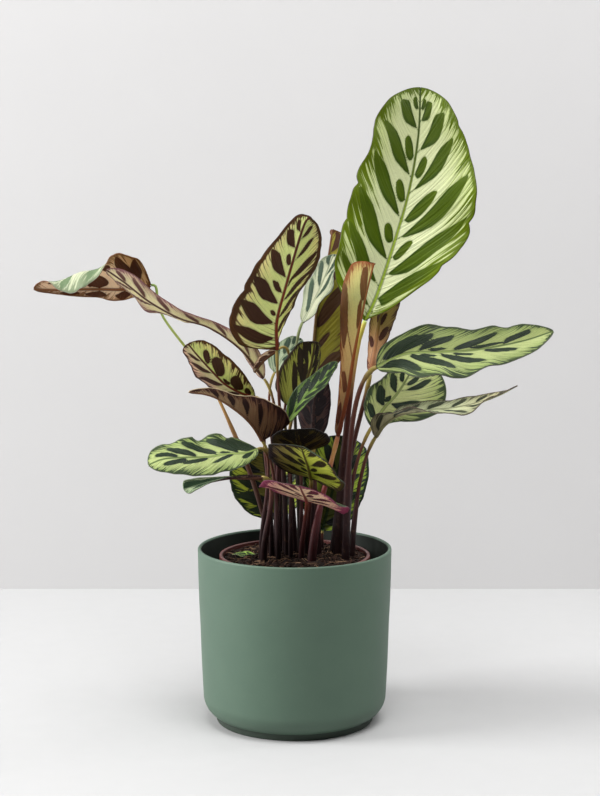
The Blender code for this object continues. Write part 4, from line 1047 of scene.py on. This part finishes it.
def make_leaf(number, leaf):
    """A leaf's painted blade on the CAD blade's surface, with a raised midrib under it."""
    name = f"leaf_{number:02d}_blade" if number else "fallen_leaf"
    widest = max(max(leaf.left), max(leaf.right))
    reach = along(leaf.midrib, np.array([0.0]))[2]
    rows = max(24, round(reach / CELL))
    columns = max(10, round(widest / CELL))
    points, u, t, length = grown_points(leaf, rows, columns)
    points = ragged(points, u, t, columns, number)
    steps = np.linalg.norm(np.diff(points, axis=1), axis=2)
    far = np.zeros(points.shape[:2])
    far[:, columns + 1:] = np.cumsum(steps[:, columns:], axis=1)
    far[:, :columns] = -np.cumsum(steps[:, :columns][:, ::-1], axis=1)[:, ::-1]
    half = np.where(t[None, :] < 0, -far[:, :1], far[:, -1:])
    depth, vein, place = mark_field(number, u, t, far, half, length)
    tail = np.minimum(u, 1 - u)[:, None] * length * 0.9 + 0.35
    margin = np.minimum(half - np.abs(far), tail)
    rim = 1 - margin / np.maximum(half, 0.42 * widest)

    # Crimps along the margins, puckers between the veins and the midrib's ridge.
    out = np.abs(t)[None, :]
    crimp = crimps(u, t, number, length) * np.clip(half / CRIMP_FULL, 0, 1) * out**3
    pucker = PUCKER * np.sin(vein * PUCKERS_PER_MM) * out * (1 - out) * 4
    taper = leaf.girth[1] * (1 - u[:, None]) ** 1.2
    rib = (RIB_HEIGHT + taper) * np.exp(-(far / RIB_WIDTH) ** 2)
    rise = crimp + np.where(np.abs(far) > 1.5, pucker, 0) - RIB_SHIFT * rib
    points = points + grid_normals(points) * rise[..., None]
    if number == 0:
        points[..., 2] += np.vectorize(soil_lump)(points[..., 0], points[..., 1])

    wide = 2 * columns + 1
    corners = [i * wide + j for i in range(rows) for j in range(2 * columns)]
    faces = [(a, a + 1, a + wide + 1, a + wide) for a in corners]
    sides = SIDES.get(number, SIDES[-1])
    pace = min(1.6, math.sqrt(130 / length))
    glow = LETS_THROUGH.get(number, LETS_THROUGH[0])
    looks = [
        blade_look(f"{name}_{way}", sides[k], WASH.get((number, k), {}), number * 3.0, GLOSS[k],
                   through, LIT[k], pace, BANDS.get(number, BANDS[0]))
        for k, (way, through) in enumerate((("upper", 0.08 + 0.6 * glow), ("under", glow)))]
    looks.append(hem_look(f"{name}_hem", sides[1]["edge"]))
    made = mesh_of(name + "_visual", points.reshape(-1, 3) * MM, faces, looks)
    set_uv(made, "veins", vein / 10, t[None, :])
    set_uv(made, "marks", depth / 10, place)
    set_uv(made, "edges", margin / 10, np.abs(far) / (0.4 + 0.005 * widest + 0.5 * taper))
    set_uv(made, "place", u[:, None], rim)
    group = made.vertex_groups.new(name="rib")
    for k, weight in enumerate(np.clip((BLADE + rib) / THICKEST, 0, 1).ravel()):
        group.add([k], float(weight), "REPLACE")
    solid = made.modifiers.new("thickness", "SOLIDIFY")
    solid.thickness = THICKEST * MM
    solid.offset = 0
    solid.vertex_group = "rib"
    solid.use_rim = True
    solid.material_offset = 1
    solid.material_offset_rim = 2
    slot = "leaf_purple" if number in PURPLE else "leaf"
    seat(made, slot if number else "dry_leaf", name)


def make_stalk(number, leaf):
    """A stalk with a flat sheath at its foot and a swollen joint under the blade."""
    name = f"leaf_{number:02d}_stalk"
    centres = np.array(stalk_points(leaf))
    ways = unit(np.gradient(centres, axis=0))
    count = len(centres)
    share = np.arange(count) / (count - 1)
    run = np.concatenate([[0], np.cumsum(np.linalg.norm(np.diff(centres, axis=0), axis=1))])
    to_end = run[-1] - run
    joint = np.exp(-((to_end - PULVINUS * 0.5) / (PULVINUS * 0.42)) ** 4)
    neck = np.exp(-((to_end - PULVINUS * 1.15) / 2.0) ** 2)
    radius = np.interp(share, [0, 1], leaf.girth)
    radius = radius * (1 + JOINT_SWELL * joint) * (1 - NECK_DIP * neck)
    sheath = 1 / (1 + np.exp((run - SHEATH * run[-1]) / SHEATH_FADE))
    across = np.zeros((count, 3))
    start = np.array([1.0, 0.3, 0.0])
    for k, way in enumerate(ways):
        start = start - way * start.dot(way)
        start = start / np.linalg.norm(start)
        across[k] = start
    other = np.cross(ways, across)
    n = STALK_SIDES
    turns = np.arange(n) / n * 2 * math.pi
    rings = []
    for k in range(count):
        cusp = 1 + SHEATH_EDGE * sheath[k] * np.maximum(0, np.cos(turns * 2)) ** 6
        long_side = radius[k] * (1 + SHEATH_WIDER * sheath[k])
        short_side = radius[k] * (1 - SHEATH_THINNER * sheath[k])
        rings.append(centres[k] + (np.cos(turns) * long_side * cusp)[:, None] * across[k]
                     + (np.sin(turns) * short_side * cusp)[:, None] * other[k])
    verts = np.vstack([*rings, centres[:1], centres[-1:]]) * MM
    faces = []
    for k in range(count - 1):
        for j in range(n):
            a, b = k * n + j, k * n + (j + 1) % n
            faces.append((a, b, b + n, a + n))
    top = (count - 1) * n
    for j in range(n):
        k = (j + 1) % n
        faces += [(count * n, k, j), (count * n + 1, top + j, top + k)]
    made = mesh_of(name + "_visual", verts, faces, [stalk_look(number)])
    angle = [*np.tile(np.abs(turns / math.pi - 1), count), 0, 0]
    set_uv(made, "place", [*np.repeat(share, n), 0, 1], angle)
    set_uv(made, "veins", [*np.repeat(run / 10, n), 0, run[-1] / 10], angle)
    seat(made, "stalk", name)


def lathe(name, profile, steps, looks, kind=lambda a, b: 0):
    """A round shape turned about the Z axis; kind gives each band's material from its ends."""
    turns = np.arange(steps) / steps * 2 * math.pi
    verts = []
    rings = []
    for r, z in profile:
        if r == 0:
            rings.append([len(verts)] * steps)
            verts.append((0, 0, z * MM))
            continue
        rings.append(list(range(len(verts), len(verts) + steps)))
        verts += [(r * math.cos(a) * MM, r * math.sin(a) * MM, z * MM) for a in turns]
    faces = []
    kinds = []
    for band, (low, high) in enumerate(zip(rings, rings[1:])):
        for j in range(steps):
            k = (j + 1) % steps
            corners = tuple(dict.fromkeys([low[j], low[k], high[k], high[j]]))
            if len(corners) > 2:
                faces.append(corners)
                kinds.append(kind(profile[band], profile[band + 1]))
    made = mesh_of(name, verts, faces, looks, kinds)
    bm = bmesh.new()
    bm.from_mesh(made.data)
    bmesh.ops.recalc_face_normals(bm, faces=bm.faces[:])
    bm.to_mesh(made.data)
    bm.free()
    return made


def arc(centre, radius, start, end, count):
    """Points of an arc in the profile's plane, angles in degrees."""
    angles = np.radians(np.linspace(start, end, count))
    return [(centre[0] + radius * math.cos(a), centre[1] + radius * math.sin(a)) for a in angles]


def make_cover_pot():
    """The cover pot, with its glazed outside, an inside painted dark as shade, and a darker matt
    foot.
    """
    corner = (BODY_FOOT_R - CORNER_R, CORNER_Z)
    inner = CORNER_R - WALL
    lip = WALL / 2
    reach = -math.degrees(math.acos((FOOT_R - corner[0]) / CORNER_R))
    profile = [(0, FLOOR_Z), *arc((corner[0], FLOOR_Z + inner), inner, -90, 0, 12),
               (WAIST_R - WALL, WAIST_Z), INSIDE_TOP,
               *arc((RIM_R - lip, POT_HEIGHT - lip), lip, 180, 0, 14), *OUTSIDE,
               *arc(corner, CORNER_R, 0, reach, 16), *FOOT]

    def kind(a, b):
        """0 for the glazed outside and rim, 1 for the inside, painted dark as shade, 2 for the
        foot.
        """
        if min(a[0], b[0]) < FOOT_R + 0.5 and max(a[1], b[1]) < FOOT_BAND_TOP:
            return 2
        level = min(a[1], b[1])
        wall = np.interp(level, [0, CORNER_Z, WAIST_Z, POT_HEIGHT],
                         [FOOT_R, BODY_FOOT_R, WAIST_R, RIM_R])
        within = max(a[0], b[0]) < wall - SKIN
        return 1 if FOOT_BAND_TOP < level < POT_HEIGHT - SKIN and within else 0

    # The inside is much darker than the outside glaze: painted shade in the pot.
    inside = plain_look("glaze_inside_painted_shade", (22, 28, 22), (30, 37, 30), 60.0, 0.55, 0.1, 0.3)
    # The foot is a darker, matt band under the glaze.
    foot = plain_look("dark_matt_foot", (52, 62, 54), (66, 78, 68), 200.0, 0.8)
    made = lathe("cover_pot_visual", profile, POT_STEPS, [pot_look(), inside, foot], kind)
    seat(made, "cover_pot", "cover_pot")


def make_nursery_pot():
    """The thin plastic pot inside, with a rolled lip; its drain holes are in the CAD part only."""
    low = FLOOR_Z + GAP
    floor = low + NURSERY_WALL
    foot, rim, top = NURSERY_FOOT_R, NURSERY_RIM_R, NURSERY_TOP
    inner_foot = foot - NURSERY_WALL
    inner_rim = rim - LIP - NURSERY_WALL
    profile = [(0, floor), (inner_foot - 2, floor), (inner_foot, floor + 2), (inner_rim, top - 1),
               *arc((inner_rim + LIP_INNER_R, top - LIP_INNER_R), LIP_INNER_R, 180, 90, 4),
               *arc((rim - LIP_OUTER_R, top - LIP_OUTER_R), LIP_OUTER_R, 90, 0, 5),
               (rim, top - LIP_HEIGHT), (rim - LIP, top - LIP_HEIGHT - 0.4),
               (foot, low + 1.5), (foot - 0.5, low + 0.4), (foot - 1.5, low), (0, low)]
    # The plastic is made dark all round, partly as painted shade inside the cover pot.
    plastic = plain_look("terracotta_plastic_painted_shade", (62, 23, 19), (100, 39, 31), 30.0, 0.38, 0.08, 0.5)
    made = lathe("nursery_pot_visual", profile, NURSERY_STEPS, [plastic])
    seat(made, "nursery_pot", "nursery_pot")


def ground(x, y):
    """The soil's height at a point, in millimetres."""
    rough = noise.fractal(Vector((x * ROUGH_PER_MM, y * ROUGH_PER_MM, 3.0)), 1.0, 2.1, 5)
    rise = rough + MOUND * math.exp(-(x * x + y * y) / MOUND_SPREAD)
    edge = np.interp(math.hypot(x, y), [FLAT_FROM, FLAT_AT], [1, 0])
    return SOIL_TOP + soil_lump(x, y) * edge + rise * edge


def make_soil():
    """The soil's body with a rough top, in one closed mesh."""
    low = FLOOR_Z + GAP + NURSERY_WALL + GAP
    slope = (NURSERY_RIM_R - LIP - NURSERY_FOOT_R) / (NURSERY_TOP - low)
    foot = NURSERY_FOOT_R - NURSERY_WALL - 2 * GAP
    top = foot + slope * (SOIL_TOP - low)
    profile = [(top * k / SOIL_RINGS, SOIL_TOP) for k in range(SOIL_RINGS + 1)]
    made = lathe("soil_visual", [*profile, (foot, low), (0, low)], SOIL_STEPS, [soil_look()])
    for vert in made.data.vertices:
        x, y, z = (c / MM for c in vert.co)
        if z > SOIL_TOP - 1:
            vert.co.z = ground(x, y) * MM
    seat(made, "soil", "soil")


def anywhere(rng, reach):
    """A random point within reach of the pot's axis."""
    r = reach * math.sqrt(rng.random())
    a = rng.random() * 2 * math.pi
    return r * math.cos(a), r * math.sin(a)


def make_crumbs():
    """Crumbs of peat and bark chips on the soil, clear of the stalks' feet, in one mesh."""
    rng = random.Random(CRUMB_SEED)
    bm = bmesh.new()
    placed = 0
    while placed < CRUMBS:
        x, y = anywhere(rng, CRUMB_REACH)
        size = rng.uniform(0.5, 1.9) * (1 if rng.random() < SMALL_SHARE else BIG)
        room = size + 0.3
        if any(math.hypot(x - leaf.foot[0], y - leaf.foot[1]) <= leaf.girth[0] + room
               for leaf in LEAVES):
            continue
        placed += 1
        detail = 1 if size < 1.2 else 2
        made = bmesh.ops.create_icosphere(bm, subdivisions=detail, radius=size * MM)
        stretch = Vector((rng.uniform(0.7, 1.3), rng.uniform(0.6, 1.1), rng.uniform(0.5, 0.9)))
        turn = rng.random() * math.pi
        centre = Vector((x, y, ground(x, y) + size * 0.3)) * MM
        for vert in made["verts"]:
            p = vert.co * (1 + 0.35 * noise.noise(vert.co * 900 + centre * 3000))
            p = Vector((p.x * stretch.x, p.y * stretch.y, p.z * stretch.z))
            vert.co = centre + Vector((p.x * math.cos(turn) - p.y * math.sin(turn),
                                       p.x * math.sin(turn) + p.y * math.cos(turn), p.z))
        for face in dict.fromkeys(f for v in made["verts"] for f in v.link_faces):
            face.material_index = 0 if rng.random() < PEAT_SHARE else 1
    mesh = bpy.data.meshes.new("soil_crumbs")
    bm.to_mesh(mesh)
    bm.free()
    mesh.materials.append(soil_look())
    mesh.materials.append(plain_look("bark_chip", (38, 25, 19), (76, 51, 38), 300.0, 0.9, 0.6, 0.2))
    seat(add("soil_crumbs", mesh), "soil")


def make_fibres():
    """Thin coir fibres and roots that lie over the soil, in one mesh."""
    rng = random.Random(FIBRE_SEED)
    verts = []
    faces = []
    for _ in range(FIBRES):
        x, y = anywhere(rng, FIBRE_REACH)
        heading = rng.random() * 2 * math.pi
        bend = rng.uniform(-0.25, 0.25)
        lift = rng.uniform(0.2, 1.6)
        radius = rng.uniform(0.12, 0.3)
        knots = rng.randint(6, 11)
        first = len(verts)
        for j in range(knots):
            share = j / (knots - 1)
            z = ground(x, y) + 0.2 + lift * math.sin(math.pi * share)
            thin = radius * (1 - 0.7 * abs(2 * share - 1) ** 2)
            side = Vector((-math.sin(heading), math.cos(heading), 0))
            for turn in np.arange(4) * math.pi / 2:
                p = Vector((x, y, z)) + side * thin * math.cos(turn)
                verts.append((p + Vector((0, 0, 1)) * thin * math.sin(turn)) * MM)
            heading += bend + rng.uniform(-0.2, 0.2)
            x += FIBRE_STEP * math.cos(heading)
            y += FIBRE_STEP * math.sin(heading)
            if math.hypot(x, y) > FIBRE_END:
                break
        end = len(verts) - 4
        if end < first + 8:
            del verts[first:]
            continue
        for ring in range(first, end, 4):
            for corner in range(4):
                p, q = ring + corner, ring + (corner + 1) % 4
                faces.append((p, q, q + 4, p + 4))
        faces += [(first + 3, first + 2, first + 1, first), (end, end + 1, end + 2, end + 3)]
    look = plain_look("coir", (88, 64, 48), (150, 120, 94), 400.0, 0.85, 0.4, 0.2)
    seat(mesh_of("soil_fibres", verts, faces, [look]), "soil")


def make_stage():
    """A pale floor that runs on under a pale wall, which is seen from its front only."""
    f, w = FLOOR_REACH, WALL_REACH
    made = []
    for name, dark, light, scale, roughness, specular, corners in (
        ("floor", (177, 177, 177), (180, 180, 180), 60.0, 0.7, 0.2,
         ((-f, -f, 0), (f, -f, 0), (f, f, 0), (-f, f, 0))),
        ("wall", (197, 196, 196), (200, 199, 199), 8.0, 0.9, 0.1,
         ((-w, SEAM_Y, 0), (w, SEAM_Y, 0), (w, SEAM_Y, w), (-w, SEAM_Y, w))),
    ):
        look = Look(name)
        fine = look.noise(look.place(), scale, 3.0)
        look.finish(look.mix(fine, rgb(dark), rgb(light)), roughness, None, specular)
        if name == "wall":
            look.one_sided()
        made.append(mesh_of(name, corners, [(0, 1, 2, 3)], [look.material]))
    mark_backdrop(*made)


def make_lights():
    """One big soft light from the left, one that washes the wall, a small fill and a dim room."""
    world = bpy.data.worlds.new("room")
    world.use_nodes = True
    back = world.node_tree.nodes["Background"]
    back.inputs[0].default_value = (1.0, 0.995, 0.985, 1)
    back.inputs[1].default_value = ROOM
    bpy.context.scene.world = world
    for name, place, aim, size, power in LIGHTS:
        data = bpy.data.lights.new(name, "AREA")
        data.shape = "SQUARE"
        data.size = size
        data.energy = power
        made = add(name, data)
        made.location = place
        made.rotation_euler = (Vector(aim) - Vector(place)).to_track_quat("-Z", "Y").to_euler()


def make_camera():
    """The photograph's viewpoint."""
    data = bpy.data.cameras.new("camera")
    data.lens = LENS
    data.sensor_width = SENSOR
    data.clip_end = 20
    made = add("camera", data)
    made.location = CAMERA_AT
    made.rotation_euler = (math.radians(90 - CAMERA_PITCH), 0, 0)
    bpy.context.scene.camera = made


bpy.context.scene.view_settings.view_transform = "Standard"
make_stage()
make_lights()
make_camera()
make_cover_pot()
make_nursery_pot()
make_soil()
make_crumbs()
make_fibres()
for number, leaf in enumerate(LEAVES, 1):
    make_leaf(number, leaf)
    make_stalk(number, leaf)
make_leaf(0, FALLEN)

low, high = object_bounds()
sizes = {"cad": [list(CAD_LOW), list(CAD_HIGH)], "scene": [list(low), list(high)]}
{k: [[float(x) for x in corner] for corner in v] for k, v in sizes.items()}
